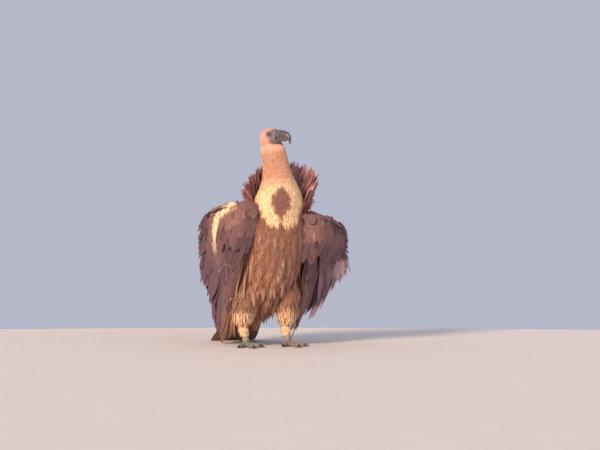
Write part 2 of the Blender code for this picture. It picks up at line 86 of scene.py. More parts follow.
# The bird's build, in metres: it faces -Y, its left is +X. The same sizes as the solids have.
spine = (  # tail base to skull: x, y, z, half width, depth to the front, depth to the back
    (0.0, 0.214, 0.158, 0.04, 0.018, 0.018), (0.0, 0.17, 0.186, 0.076, 0.072, 0.042),
    (0.002, 0.112, 0.222, 0.108, 0.116, 0.072), (0.004, 0.047, 0.283, 0.128, 0.132, 0.098),
    (0.006, -0.003, 0.36, 0.134, 0.126, 0.108), (0.008, -0.043, 0.435, 0.13, 0.116, 0.104),
    (0.009, -0.073, 0.5, 0.114, 0.1, 0.092), (0.01, -0.093, 0.558, 0.099, 0.08, 0.076),
    (0.009, -0.101, 0.612, 0.077, 0.064, 0.062), (0.0, -0.103, 0.668, 0.056, 0.052, 0.051),
    (-0.007, -0.094, 0.72, 0.05, 0.045, 0.043), (-0.011, -0.085, 0.758, 0.048, 0.04, 0.038),
    (-0.013, -0.084, 0.788, 0.031, 0.028, 0.026),
)
lastRow = len(spine) - 1
headAt, headTurn, headLift = (-0.015, -0.097, 0.804), math.radians(27), math.radians(3)
skull = (  # forward, half width, top, bottom
    (-0.053, 0.006, 0.006, -0.01), (-0.05, 0.015, 0.014, -0.018), (-0.042, 0.0245, 0.021, -0.028),
    (-0.028, 0.032, 0.028, -0.037), (-0.011, 0.0345, 0.031, -0.04), (0.005, 0.0325, 0.03, -0.037),
    (0.017, 0.0265, 0.026, -0.031), (0.026, 0.021, 0.022, -0.025),
)
eyeAt, eyeRadius = (0.005, 0.0245, 0.008), 0.009  # forward, aside, up
upperBill = (  # forward, up, half width, half depth
    (0.0264, 0.007, 0.0168, 0.016), (0.04, 0.0068, 0.0155, 0.015), (0.056, 0.0056, 0.0132, 0.0142),
    (0.07, 0.0022, 0.0108, 0.0125), (0.0805, -0.005, 0.0082, 0.0096), (0.0862, -0.015, 0.0054, 0.0066),
    (0.087, -0.025, 0.0032, 0.004), (0.0852, -0.0335, 0.0012, 0.0014),
)
cereEnd = 1.45  # rows of the bill that the cere covers
lowerBill = (
    (0.0264, -0.0135, 0.014, 0.0098), (0.042, -0.0135, 0.0122, 0.0098), (0.058, -0.0132, 0.01, 0.0092),
    (0.069, -0.013, 0.0072, 0.0074), (0.077, -0.0136, 0.004, 0.0044),
)
ruffCentre = (0.01, -0.098)
ruffRows = (  # degrees from the front towards the left, radius and height of roots, then of tips
    (62, 0.09, 0.515, 0.11, 0.562), (78, 0.09, 0.515, 0.13, 0.615), (95, 0.088, 0.52, 0.16, 0.665),
    (118, 0.09, 0.525, 0.166, 0.698), (145, 0.098, 0.535, 0.134, 0.705), (180, 0.108, 0.54, 0.116, 0.7),
    (212, 0.098, 0.535, 0.098, 0.688), (236, 0.09, 0.525, 0.116, 0.655), (254, 0.088, 0.52, 0.136, 0.61),
    (270, 0.088, 0.515, 0.128, 0.572), (284, 0.09, 0.515, 0.108, 0.55),
)
wingRows = {  # each row: feather root, feather tip, and how far its middle bows
    "right": {
        "mantle": (
            (-0.026, 0.03, 0.54, -0.034, 0.182, 0.295, -0.008, 0.018, 0.016),
            (-0.118, 0.082, 0.53, -0.104, 0.244, 0.235, -0.012, 0.022, 0.02),
            (-0.192, 0.11, 0.502, -0.136, 0.28, 0.2, -0.022, 0.01, 0.012),
            (-0.212, 0.006, 0.528, -0.172, 0.203, 0.225, -0.01, 0.0, 0.004),
            (-0.158, -0.104, 0.56, -0.166, 0.165, 0.13, -0.022, -0.024, -0.01),
        ),
        "hand": (
            (-0.19, 0.02, 0.44, -0.128, 0.278, 0.085, -0.018, -0.02, -0.01),
            (-0.158, -0.07, 0.48, -0.112, 0.262, 0.04, -0.034, -0.045, -0.022),
            (-0.112, -0.128, 0.51, -0.098, 0.244, -0.012, -0.043, -0.06, -0.03),
        ),
        "apron": (  # small feathers from the shoulder over the front of arm and hand
            (-0.08, -0.116, 0.512, -0.122, -0.094, 0.372, -0.004, -0.01, 0.0),
            (-0.13, -0.14, 0.536, -0.166, -0.092, 0.38, -0.004, -0.012, 0.0),
            (-0.168, -0.114, 0.554, -0.192, -0.056, 0.396, -0.006, -0.012, 0.0),
            (-0.194, -0.074, 0.55, -0.206, -0.006, 0.394, -0.004, -0.002, 0.0),
        ),
        "cape": (  # small feathers from the shoulder out over the top of the arm
            (-0.076, -0.106, 0.538, -0.114, -0.144, 0.5, 0.0, -0.006, 0.006),
            (-0.086, -0.096, 0.552, -0.162, -0.14, 0.54, 0.0, 0.0, 0.008),
            (-0.1, -0.058, 0.546, -0.21, -0.08, 0.534, 0.0, 0.0, 0.01),
            (-0.112, -0.012, 0.54, -0.232, -0.012, 0.514, 0.0, 0.0, 0.012),
            (-0.112, 0.04, 0.535, -0.23, 0.052, 0.5, 0.0, 0.0, 0.012),
            (-0.104, 0.08, 0.525, -0.21, 0.122, 0.484, 0.0, 0.0, 0.012),
        ),
        "stray": {1: (-0.018, 0.0, 0.006), 4: (-0.014, 0.0, 0.004), 7: (-0.012, 0.0, 0.0)},
    },
    "left": {
        "mantle": (
            (0.026, 0.03, 0.538, 0.04, 0.182, 0.29, 0.008, 0.018, 0.016),
            (0.14, 0.082, 0.512, 0.16, 0.246, 0.222, 0.012, 0.022, 0.02),
            (0.258, 0.106, 0.454, 0.312, 0.236, 0.205, 0.02, 0.012, 0.014),
            (0.282, 0.012, 0.466, 0.352, 0.15, 0.25, 0.018, 0.0, 0.006),
            (0.176, -0.1, 0.5, 0.222, 0.13, 0.12, 0.012, -0.024, -0.008),
        ),
        "hand": (
            (0.214, 0.026, 0.4, 0.214, 0.262, 0.08, 0.018, -0.02, -0.01),
            (0.166, -0.066, 0.43, 0.19, 0.25, 0.04, 0.016, -0.04, -0.022),
            (0.112, -0.122, 0.48, 0.168, 0.238, -0.012, 0.008, -0.045, -0.03),
        ),
        "apron": (
            (0.08, -0.112, 0.492, 0.106, -0.088, 0.335, 0.004, -0.012, 0.0),
            (0.14, -0.134, 0.502, 0.166, -0.098, 0.34, 0.004, -0.012, 0.0),
            (0.188, -0.11, 0.5, 0.214, -0.07, 0.35, 0.006, -0.012, 0.0),
            (0.23, -0.072, 0.49, 0.244, -0.022, 0.345, 0.004, -0.002, 0.0),
        ),
        "cape": (
            (0.076, -0.106, 0.52, 0.11, -0.142, 0.474, 0.0, -0.006, 0.006),
            (0.096, -0.092, 0.524, 0.174, -0.136, 0.486, 0.0, 0.0, 0.008),
            (0.118, -0.062, 0.518, 0.244, -0.088, 0.466, 0.0, 0.0, 0.01),
            (0.14, -0.012, 0.512, 0.302, -0.008, 0.446, 0.0, 0.0, 0.012),
            (0.14, 0.04, 0.504, 0.302, 0.062, 0.434, 0.0, 0.0, 0.012),
            (0.13, 0.08, 0.5, 0.276, 0.128, 0.432, 0.0, 0.0, 0.012),
        ),
        "stray": {3: (0.018, -0.008, 0.006), 5: (0.022, 0.0, 0.0)},
    },
}
shoulderRows = {  # distance aside, y, z, half depth, half height
    "right": (
        (0.055, -0.02, 0.496, 0.074, 0.046), (0.1, 0.0, 0.496, 0.1, 0.05),
        (0.145, 0.006, 0.492, 0.104, 0.048), (0.182, 0.026, 0.482, 0.074, 0.038),
    ),
    "left": (
        (0.055, -0.02, 0.496, 0.074, 0.046), (0.11, -0.004, 0.486, 0.098, 0.048),
        (0.172, 0.008, 0.466, 0.092, 0.044), (0.232, 0.04, 0.446, 0.06, 0.034),
    ),
}
elbow = 0.44  # share of the mantle sheet that is scapulars
armHalf, bladeHalf, tipHalf, fleshEnd = 0.017, 0.003, 0.0007, 0.46
tailRows = (  # root to tip: y, z, half width, half thickness
    (0.213, 0.1585, 0.038, 0.016), (0.265, 0.116, 0.052, 0.012), (0.325, 0.066, 0.066, 0.0065),
    (0.38, 0.024, 0.078, 0.003), (0.415, 0.0006, 0.084, 0.0016), (0.44, 0.0006, 0.086, 0.0012),
)
thighRows = (  # distance aside, y, z, half width, half depth
    (0.074, 0.04, 0.275, 0.054, 0.066), (0.081, 0.034, 0.225, 0.059, 0.08),
    (0.084, 0.03, 0.175, 0.058, 0.078), (0.086, 0.032, 0.13, 0.047, 0.061),
    (0.086, 0.038, 0.1, 0.031, 0.038), (0.085, 0.042, 0.082, 0.02, 0.022),
)
shankRows = (
    (0.085, 0.042, 0.0816, 0.015, 0.017), (0.085, 0.035, 0.062, 0.0125, 0.0145),
    (0.084, 0.024, 0.04, 0.012, 0.014), (0.084, 0.015, 0.024, 0.0135, 0.016),
)
ballAside, ballY, ballRadius = 0.084, 0.012, 0.0165
toes = {  # degrees out from forward, length, radius at root and tip
    "inner": (-34, 0.066, 0.01, 0.0078), "middle": (4, 0.104, 0.0098, 0.0074),
    "outer": (40, 0.074, 0.0092, 0.007), "hind": (186, 0.046, 0.009, 0.0075),
}
clawLength, toeGap = 0.024, 0.0004
sides = (("right", -1), ("left", 1))
fineness = {"head": 0.0011, "body": 0.005, "leg": 0.0014}  # size of the smallest detail kept in each skin

# The frame's origin is the bottom centre of the bird's box, a little off the point between its feet.
headPlace = Matrix.Rotation(headTurn, 4, "Z") @ Matrix.Rotation(-headLift, 4, "X")
headPlace = Matrix.Translation(headAt) @ headPlace
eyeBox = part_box("eye_left")
builtEye = headPlace @ Vector((eyeAt[1], -eyeAt[0], eyeAt[2]))
shift = np.array((eyeBox[0] + eyeBox[1]) / 2 - builtEye)
headPlace = np.array(Matrix.Translation(shift) @ headPlace)
bodyCentre = np.array((0.0, 0.0, 0.4)) + shift


def fromHead(points):  # the skull's own frame to the bird's
    return points @ headPlace[:3, :3].T + headPlace[:3, 3]


def toHead(points):
    return (points - headPlace[:3, 3]) @ headPlace[:3, :3]


# Mesh builders.
def turnedOut(points, faces):  # faces that point away from the inside
    volume = 0.0
    for group in faces:
        corner = points[group]
        for k in range(1, group.shape[1] - 1):
            volume += np.sum(np.cross(corner[:, 0], corner[:, k]) * corner[:, k + 1])
    return faces if volume > 0 else [group[:, ::-1] for group in faces]


def buildMesh(name, points, faces, values=None, uv=None):
    faces = turnedOut(points, faces)
    mesh = bpy.data.meshes.new(name)
    corners = np.concatenate([group.ravel() for group in faces]).astype(np.int32)
    counts = np.concatenate([np.full(len(group), group.shape[1]) for group in faces])
    starts = np.concatenate(([0], np.cumsum(counts)[:-1])).astype(np.int32)
    mesh.vertices.add(len(points))
    movePoints(mesh, points)
    mesh.loops.add(len(corners))
    mesh.loops.foreach_set("vertex_index", corners)
    mesh.polygons.add(len(counts))
    mesh.polygons.foreach_set("loop_start", starts)
    if uv is not None:
        mesh.uv_layers.new(name="OFBake").data.foreach_set("uv", uv[corners].astype(np.float32).ravel())
    mesh.update(calc_edges=True)
    for key, data in (values or {}).items():
        addValues(mesh, key, data)
    mesh.shade_smooth()
    return mesh


def addValues(mesh, key, data):  # one number or one colour for each vertex
    if data.ndim == 1:
        mesh.attributes.new(key, "FLOAT", "POINT").data.foreach_set("value", data.astype(np.float32))
    else:
        full = np.concatenate((data, np.ones((len(data), 1))), 1).astype(np.float32)
        mesh.attributes.new(key, "FLOAT_COLOR", "POINT").data.foreach_set("color", full.ravel())


def loftFaces(rows, columns, closed=True):
    k = np.arange(columns)
    n = (k + 1) % columns
    start = (np.arange(rows - 1) * columns)[:, None]
    quads = np.stack((start + k, start + n, start + columns + n, start + columns + k), -1).reshape(-1, 4)
    return [quads, np.stack((k[::-1], k + (rows - 1) * columns))] if closed else [quads]


def loft(name, rings, values=None):  # a closed solid through rings of points
    return buildMesh(name, rings.reshape(-1, 3), loftFaces(*rings.shape[:2]), values)


def ringGrid(first, last, rows, columns):  # a share for each ring, and an angle for each point round it
    share = np.linspace(first, last, rows)[:, None] + np.zeros(columns)
    return share, np.zeros((rows, 1)) + math.tau * np.arange(columns) / columns


def addObject(name, mesh):
    made = bpy.data.objects.new(name, mesh)
    bpy.context.scene.collection.objects.link(made)
    return made


def pointsOf(mesh, key="co"):
    found = np.empty(len(mesh.vertices) * 3, np.float32)
    mesh.vertices.foreach_get(key, found)
    return found.reshape(-1, 3).astype(float)


def movePoints(mesh, points):
    mesh.vertices.foreach_set("co", points.astype(np.float32).ravel())


def evaluated(made, name):  # the object's mesh with its modifiers applied, and the object gone
    bpy.context.view_layer.update()
    mesh = bpy.data.meshes.new_from_object(made.evaluated_get(bpy.context.evaluated_depsgraph_get()))
    mesh.name = name
    bpy.data.objects.remove(made, do_unlink=True)
    return mesh


def joined(name, meshes):
    faces, offset = [], 0
    for mesh in meshes:
        faces += [tuple(v + offset for v in face.vertices) for face in mesh.polygons]
        offset += len(mesh.vertices)
    made = bpy.data.meshes.new(name)
    made.from_pydata(np.concatenate([pointsOf(mesh) for mesh in meshes]).tolist(), [], faces)
    return made


def melted(name, meshes, voxel, rounds):  # several closed meshes grown into one skin
    made = addObject(name, joined(name, meshes))
    remesh = made.modifiers.new("melt", "REMESH")
    remesh.mode, remesh.voxel_size, remesh.use_smooth_shade = "VOXEL", voxel, True
    smooth = made.modifiers.new("smooth", "SMOOTH")
    smooth.iterations, smooth.factor = rounds, 0.5
    return evaluated(made, name)


# Surfaces of the body, each a function of two shares from 0 to 1.
def coatDepth(t):  # how deep the skin lies under the feather tips, by spine row
    return np.interp(t, (0, 1, 3, 6, 8.5, 10, 12), (0.004, 0.008, 0.009, 0.009, 0.006, 0.0035, 0.0025))


leftward = np.array((1.0, 0, 0))


def frontAt(t):  # square to the spine there, towards the breast
    ahead = along(spine, np.minimum(t + 0.1, lastRow)) - along(spine, np.maximum(t - 0.1, 0))
    return unit(np.cross(leftward, ahead[..., :3]))


def bodyAt(t, angle, inset):
    row = along(spine, t)
    depth = np.where(np.cos(angle) > 0, row[..., 4], row[..., 5]) - inset
    width = row[..., 3] - inset
    place = row[..., :3] + shift + leftward * (width * np.sin(angle))[..., None]
    return place + frontAt(t) * (depth * np.cos(angle))[..., None]


def skullAt(t, angle, inset, square=2.25):  # in the skull's own frame
    forward, width, top, bottom = np.moveaxis(along(skull, t), -1, 0)
    middle, half = (top + bottom) / 2, (top - bottom) / 2 - inset
    s, c = np.sin(angle), np.cos(angle)
    across = np.sign(s) * np.abs(s) ** (2 / square) * (width - inset)
    up = middle + np.sign(c) * np.abs(c) ** (2 / square) * half
    return np.stack((across, -forward, up), -1)


def sheetAt(rows, u, v):
    row = along(rows, u * (len(rows) - 1))
    v = np.asarray(v)[..., None]
    return row[..., :3] + (row[..., 3:6] - row[..., :3]) * v + row[..., 6:9] * 4 * v * (1 - v) + shift


def sheetNormal(rows, u, v):
    step = 0.01
    across = sheetAt(rows, np.minimum(u + step, 1), v) - sheetAt(rows, np.maximum(u - step, 0), v)
    down = sheetAt(rows, u, v + step) - sheetAt(rows, u, v - step)
    normal = unit(np.cross(across, down))
    return normal * np.where(dot(normal, sheetAt(rows, u, v) - bodyCentre) > 0, 1.0, -1.0)


def rounded(share):
    return np.sqrt(1 - (1 - np.clip(share, 0, 1)) ** 2)


def halfThickness(u, v, thickest):
    fade = np.clip((v - 0.08) / (fleshEnd - 0.08), 0, 1)
    half = thickest + (bladeHalf - thickest) * fade * fade * (3 - 2 * fade)
    thin = bladeHalf + (tipHalf - bladeHalf) * (v - fleshEnd) / (1 - fleshEnd)
    half = np.where(v > fleshEnd, thin, half)
    rim = rounded(v / 0.14) * (0.15 + 0.85 * rounded((1 - u) / 0.1)) * (0.15 + 0.85 * rounded(u / 0.1))
    return np.maximum(half * rim, tipHalf)


def bodySurface(s, c):
    t = s * lastRow
    return bodyAt(t, c * math.tau, coatDepth(t))


def skullSurface(s, c):
    return fromHead(skullAt(s * (len(skull) - 1), c * math.tau, 0.0012))


def legRing(rows, sign, s, c, inset):
    aside, y, z, width, depth = np.moveaxis(along(rows, s * (len(rows) - 1)), -1, 0)
    a = c * math.tau
    x = sign * aside + (width - inset) * np.sin(a)
    return np.stack((x, y - (depth - inset) * np.cos(a), z + 0 * a), -1) + shift


def thighSurface(sign):
    return lambda s, c: legRing(thighRows, sign, s, c, np.interp(s, (0, 0.5, 1), (0.01, 0.009, 0.004)))


def shoulderSurface(side, sign):
    def surface(s, c):
        aside, y, z, depth, height = np.moveaxis(along(shoulderRows[side], s * 3), -1, 0)
        a, inset = c * math.tau, 0.007
        place = (sign * aside, y - (depth - inset) * np.cos(a), z + (height - inset) * np.sin(a))
        return np.stack(place, -1) + shift
    return surface


def sheetSurface(rows, uRange, vEnd, thickest, inset):  # s across the feathers, c round the edge of the flesh
    def surface(s, c):
        u, c = uRange[0] + (uRange[1] - uRange[0]) * s, np.mod(c, 1.0)
        outer = np.where(c < 0.5, 1.0, -1.0)
        v = 0.012 + (vEnd - 0.012) * np.sin(np.where(c < 0.5, c, 1 - c) * math.pi) ** 1.4
        half = np.maximum(halfThickness(u, v, thickest) - inset, 0.0022)
        rim = rounded(np.minimum(c, 1 - c) / 0.12) * rounded(np.abs(c - 0.5) / 0.06)
        return sheetAt(rows, u, v) + sheetNormal(rows, u, v) * (outer * half * rim)[..., None]
    return surface


def gridOf(surface, sRange, rows, columns):
    s = np.linspace(*sRange, rows)[:, None] + np.zeros(columns)
    c = np.zeros((rows, 1)) + (np.arange(columns) + 0.5) / columns
    return surface(s, c)


# The skin of the head: brow, orbit, cheek, ear, gape and throat folds.
faceShape = {
    "eyeAxis": (0.93, -0.34, 0.06),  # aside, back, up, for the left eye
    "lidOpen": 45.0,  # degrees from the eye's axis to the lid's edge
    "browRise": 0.004, "orbitDepth": 0.0016, "cheekRise": 0.0018, "loreDepth": 0.0014,
    "earDepth": 0.003, "gapeDepth": 0.0016, "foldDepth": 0.00055,
}


def eyeFrame(sign):  # the eye's centre and its axis, forward edge and upper edge, in the skull's frame
    centre = np.array((sign * eyeAt[1], -eyeAt[0], eyeAt[2]))
    axis = unit(np.array(faceShape["eyeAxis"]) * (sign, 1, 1))
    up = unit(np.array((0, 0, 1.0)) - axis * axis[2])
    forward = np.cross(up, axis) * sign
    return centre, axis, forward if forward[1] < 0 else -forward, up


def headRelief(p):  # how far the skin rises, by place in the skull's frame
    forward, aside, up = -p[..., 1], np.abs(p[..., 0]), p[..., 2]
    flank = ease(aside, 0.01, 0.022)
    brow = hump(up, 0.0185 - 0.0035 * ((forward - 0.006) / 0.016) ** 2, 0.0032) * hump(forward, 0.006, 0.015)
    orbit = hump(np.hypot(forward - 0.005, up - 0.007), 0.0115, 0.0032)
    cheek = hump(forward, -0.01, 0.016) * hump(up, -0.015, 0.012)
    lore = hump(forward, 0.019, 0.005) * hump(up, 0.004, 0.008)
    ear = hump(np.hypot(forward + 0.021, up + 0.004), 0.0, 0.003)
    earRim = hump(np.hypot(forward + 0.021, up + 0.004), 0.0052, 0.0016)
    gapeLine = -0.0092 - 0.0045 * ease(forward, 0.012, -0.004)
    gape = hump(up, gapeLine, 0.0011) * ease(forward, -0.004, 0.006)
    gapeLip = hump(up, gapeLine - 0.0032, 0.0018) * ease(forward, -0.004, 0.008)
    temple = hump(forward, -0.014, 0.01) * hump(up, 0.015, 0.006)
    throat = ease(-up, 0.02, 0.03) * np.sin(forward * 900 + 2.5 * np.sin(p[..., 0] * 160))
    relief = flank * (
        faceShape["browRise"] * brow - faceShape["orbitDepth"] * orbit + faceShape["cheekRise"] * cheek
        - faceShape["loreDepth"] * lore - faceShape["earDepth"] * ear + 0.0011 * earRim
        - faceShape["gapeDepth"] * gape + 0.0009 * gapeLip - 0.001 * temple
    )
    crown = -0.0012 * hump(aside, 0.0, 0.006) * ease(up, 0.018, 0.026) * hump(forward, 0.0, 0.03)
    return relief + crown + faceShape["foldDepth"] * throat


def headSkin():
    p = skullAt(*ringGrid(0, len(skull) - 1, 110, 120), 0.0012)
    out = unit(np.cross(np.gradient(p, axis=1), np.gradient(p, axis=0)))
    out *= np.sign(np.sum(out * (p - p.mean(1, keepdims=True)), -1, keepdims=True) + 1e-12)
    p = p + out * headRelief(p)[..., None]
    for _, sign in sides:  # room for each eyeball
        centre, axis, _, _ = eyeFrame(sign)
        away = p - centre
        reach = np.linalg.norm(away, axis=-1)
        turn = np.degrees(np.arccos(np.clip(np.sum(away * axis, -1) / reach, -1, 1)))
        share = (1 - ease(turn, 50, 66)) * (reach < 0.016)
        p = p + away / reach[..., None] * ((eyeRadius - 0.0016 - reach) * share)[..., None]
    parts = [loft("skull", fromHead(p))]
    for _, sign in sides:
        parts.append(loft("lids", fromHead(lidRings(sign))))
    t, angle = ringGrid(10.5, 12.0, 40, 72)
    parts.append(loft("nape", bodyAt(t, angle, coatDepth(t) + 0.005 * (1 - ease(t, 10.5, 11.0)))))
    mesh = melted("headSkin", parts, fineness["head"], 2)
    back, up = toHead(pointsOf(mesh))[:, 1:].T
    soften(mesh, ease(up, -0.066, -0.046) * ease(up, -0.01, -0.028) * ease(-back, 0.012, -0.006), 170)
    return mesh


def soften(mesh, weights, rounds):  # each point drawn towards its neighbours' middle
    points = pointsOf(mesh)
    edges = np.empty(len(mesh.edges) * 2, np.int32)
    mesh.edges.foreach_get("vertices", edges)
    a, b = edges.reshape(-1, 2).T
    shares = np.bincount(a, minlength=len(points)) + np.bincount(b, minlength=len(points))
    for _ in range(rounds):
        total = np.stack([np.bincount(a, p[b], len(p)) + np.bincount(b, p[a], len(p)) for p in points.T], 1)
        points += (total / shares[:, None] - points) * (0.8 * weights)[:, None]
    movePoints(mesh, points)
    mesh.update()


def lidRings(sign):  # a lid all round the eye, its edge resting on the ball
    centre, axis, forward, up = eyeFrame(sign)
    section = np.array((  # degrees out from the edge, millimetres from the eye's centre
        (0.0, 9.2), (-1.5, 9.7), (0.5, 10.3), (6.0, 10.7), (12.0, 10.35), (17.0, 10.55), (25.0, 10.4),
        (36.0, 9.6), (36.0, 8.0), (8.0, 8.3),
    ))
    phi = (math.tau * np.arange(72) / 72)[:, None]
    edge = faceShape["lidOpen"] + 6.0 * np.cos(phi) ** 2 - 7.0 * np.clip(np.sin(phi), 0, 1) ** 2
    turn = np.radians(edge + section[:, 0])
    radius = section[:, 1] * 0.001 * (1 + 0.035 * np.clip(np.sin(phi), 0, 1) ** 2)  # the upper lid hangs over
    flat = forward * np.cos(phi)[..., None] + up * np.sin(phi)[..., None]
    return centre + radius[..., None] * (axis * np.cos(turn)[..., None] + flat * np.sin(turn)[..., None])


# The skin of everything else, coarser, as feathers hide it.
def bodySkin():
    t, angle = ringGrid(0.12, 11.45, 110, 56)
    parts = [loft("torso", bodyAt(t, angle, coatDepth(t) + 0.006 * ease(t, 10.95, 11.45)))]
    for side, sign in sides:
        for surface in fleshOf(side, sign):
            parts.append(loft("flesh", gridOf(surface, (0.0, 1.0), 40, 60)))
    return melted("bodySkin", parts, fineness["body"], 3)


def fleshOf(side, sign):
    rows = wingRows[side]
    return (
        thighSurface(sign), shoulderSurface(side, sign),
        sheetSurface(rows["mantle"], (elbow - 0.05, 0.99), 0.42, armHalf, 0.006),
        sheetSurface(rows["mantle"], (0.03, elbow + 0.05), 0.42, armHalf, 0.007),
        sheetSurface(rows["hand"], (0.02, 0.98), 0.42, 0.011, 0.004),
    )


print("skin")

headMesh = headSkin()
bodyMesh = bodySkin()
skin = addObject("skin", bodyMesh)
headCopy = addObject("headSkin", headMesh)
union = skin.modifiers.new("join", "BOOLEAN")
union.operation, union.solver, union.object = "UNION", "EXACT", headCopy
skinMesh = evaluated(skin, "skin")
bpy.data.objects.remove(headCopy, do_unlink=True)
skin = addObject("skin", skinMesh)
skinMesh.shade_smooth()
skinMesh.calc_loop_triangles()
skinPoints, skinNormals = pointsOf(skinMesh), pointsOf(skinMesh, "normal")
skinTriangles = np.empty(len(skinMesh.loop_triangles) * 3, np.int32)
skinMesh.loop_triangles.foreach_get("vertices", skinTriangles)
skinTriangles = skinTriangles.reshape(-1, 3)
skinTree = BVHTree.FromPolygons(skinPoints.tolist(), skinTriangles.tolist())
print("skin", len(skinPoints), "points", len(skinTriangles), "triangles")


def onSkin(points):  # nearest places on the skin, its normals there, and how far they were
    found = [skinTree.find_nearest(p) for p in points.tolist()]
    spots = np.array([f[0] for f in found])
    index = np.array([f[2] for f in found])
    normals = unit(skinNormals[skinTriangles[index]].mean(1))
    return spots, normals, np.array([f[3] for f in found])


# Colours of the plumage and the bare parts.
tones = {key: linear(value) for key, value in {
    "headDown": "#F0BBA2", "crownDown": "#DDA893", "faceSkin": "#7A6C78", "lidSkin": "#544E5C",
    "neckDown": "#D6A48A", "bib": "#F2DAA8", "bibPatchAndPaintedShade": "#ECC49C", "bibTop": "#DEAC8C",
    "cropPatch": "#8E6056", "patchLow": "#B06A50", "breast": "#956552", "belly": "#9A6A54", "vent": "#A47C64",
    "streak": "#CDA68A",
    "bellyDark": "#6E4A3E", "back": "#7C5A4E", "ruff": "#B08084", "ruffPale": "#C09A90", "lesser": "#84625C",
    "leading": "#C9A48C", "crescent": "#F4D8B0", "greater": "#6C5056", "greaterEdge": "#9C7C70",
    "scapular": "#785A54", "quill": "#684C58", "quillEdge": "#8E7074", "quillTip": "#E4C4C2",
    "quillWarm": "#8A6654", "tail": "#8C6856", "lining": "#86665A", "thigh": "#8E6652", "legDown": "#F0C8A0",
    "horn": "#4A4346", "hornPale": "#7C7069", "cere": "#5C5862", "scale": "#8C857C", "scaleDust": "#B39B82",
    "claw": "#2E2A2B",
}.items()}


def noiseAt(points, size, seed):  # smooth random numbers from -1 to 1, alike within about size
    found = np.zeros(points.shape[:-1])
    source = np.random.default_rng(seed)
    for k in range(6):
        way = source.normal(size=3) / size * (1 + 0.35 * k)
        found += np.sin(points @ way + source.uniform(0, math.tau)) / (1 + 0.35 * k)
    return np.clip(found / 2.6, -1, 1)


spineShares = np.linspace(0, lastRow, 601)
spineSpots = along(spine, spineShares)[:, :3] + shift


def bodyPlaceOf(points):  # spine row and angle of each point, the angle from the front towards the left
    t = np.empty(len(points))
    for first in range(0, len(points), 20000):
        part = points[first:first + 20000]
        gap = ((part[:, None] - spineSpots[None]) ** 2).sum(-1)
        t[first:first + 20000] = spineShares[gap.argmin(1)]
    away = points - along(spine, t)[:, :3] - shift
    return t, np.arctan2(away[:, 0], np.sum(away * frontAt(t), -1))


marking = {  # spine rows and degrees from the front
    "bibHigh": 9.0, "bibLow": 5.92, "bibMiddle": -6, "patchHigh": 8.25, "patchLow": 6.02, "patchMiddle": -11,
    "patchWidest": 7.35, "patchHalf": 31,
}


def bodyPlume(points):  # the markings of neck, crop and trunk, shared by skin and coat
    t, angle = bodyPlaceOf(points)
    degrees = np.degrees(angle)
    rough = noiseAt(points, 0.012, 3)
    patchy = noiseAt(points, 0.045, 5)
    trunk = blend(tones["breast"], tones["belly"], ease(t, 5.0, 3.0))
    trunk = blend(trunk, tones["vent"], ease(t, 1.6, 0.6))
    trunk = blend(trunk, tones["back"], ease(np.abs(degrees), 105, 140))
    # Long dark and pale streaks run down breast and belly.
    streaky = np.sin(degrees * 0.36 + 2.2 * noiseAt(points, 0.09, 61)) * noiseAt(points, 0.06, 63)
    trunk = blend(trunk, tones["bellyDark"], np.clip(streaky * 1.8, 0, 0.8) * ease(t, 6.2, 3.4))
    trunk = blend(trunk, tones["streak"], np.clip(-streaky * 1.2, 0, 0.45) * ease(t, 6.4, 4.4))
    found = trunk * (1 + 0.12 * patchy)[:, None]
    neck = blend(tones["neckDown"], tones["headDown"], ease(t, 10.2, 11.6))
    neck = neck * (1 + 0.05 * patchy)[:, None]
    # The bib's lower edge is a wide V with its point in the middle.
    fall = np.abs(degrees - marking["bibMiddle"]) / 62
    edge = marking["bibLow"] + 0.18 * hump(fall, 0, 0.13) + 0.95 * ease(fall, 0.35, 1.25)
    edge += 0.9 * ease(fall, 1.2, 2.6)
    bib = ease(t + 0.16 * rough, edge - 0.08, edge + 0.14)
    # The cream is darker in random patches, and painted shade makes it darker towards the bird's left side.
    cream = blend(tones["bib"], tones["bibPatchAndPaintedShade"],
                  np.clip(0.3 + 0.5 * patchy + 0.25 * ease(degrees, 10, 60), 0, 1))
    cream = blend(cream, tones["bibTop"], ease(t, 7.8, 8.7) * 0.85)
    found = blend(found, cream, bib)
    found = blend(found, neck, ease(t + 0.15 * rough, marking["bibHigh"] - 0.6, marking["bibHigh"] + 0.3))
    below = ease(t, marking["patchLow"], marking["patchWidest"])
    above = 1 - ease(t, marking["patchWidest"], marking["patchHigh"])
    half = marking["patchHalf"] * np.minimum(below**0.8, above**0.6)
    inside = ease(half - np.abs(degrees - marking["patchMiddle"]) + 5 * rough, -3, 7) * (half > 1)
    patch = blend(tones["cropPatch"], tones["patchLow"], ease(t + 0.2 * rough, 7.0, 6.3))
    return blend(found, patch * (1 + 0.1 * patchy)[:, None], inside)


def facePlume(points):  # bare bluish skin from the bill to behind the eye, down elsewhere
    p = toHead(points)
    forward, aside, up = -p[:, 1], np.abs(p[:, 0]), p[:, 2]
    rough = noiseAt(points, 0.004, 8)
    down = blend(tones["headDown"], tones["crownDown"], ease(up, 0.0, 0.02))
    bare = ease(forward + 0.003 * rough, -0.003, 0.016) * ease(up, -0.036, -0.026) * 0.97
    around = hump(np.hypot(forward - 0.006, up - 0.006), 0.0, 0.015) * ease(aside, 0.014, 0.024)
    found = blend(down * (1 + 0.06 * rough)[:, None], tones["faceSkin"],
                  np.clip(np.maximum(bare, around), 0, 1))
    lid = hump(np.hypot(forward - 0.006, up - 0.007), 0.0, 0.0085) * (aside > 0.02)
    return blend(found, tones["lidSkin"], lid)


crescent = {"spots": 60, "lifts": (0.0, 0.014, 0.028), "half": 0.021, "core": 0.011, "reach": 0.16}


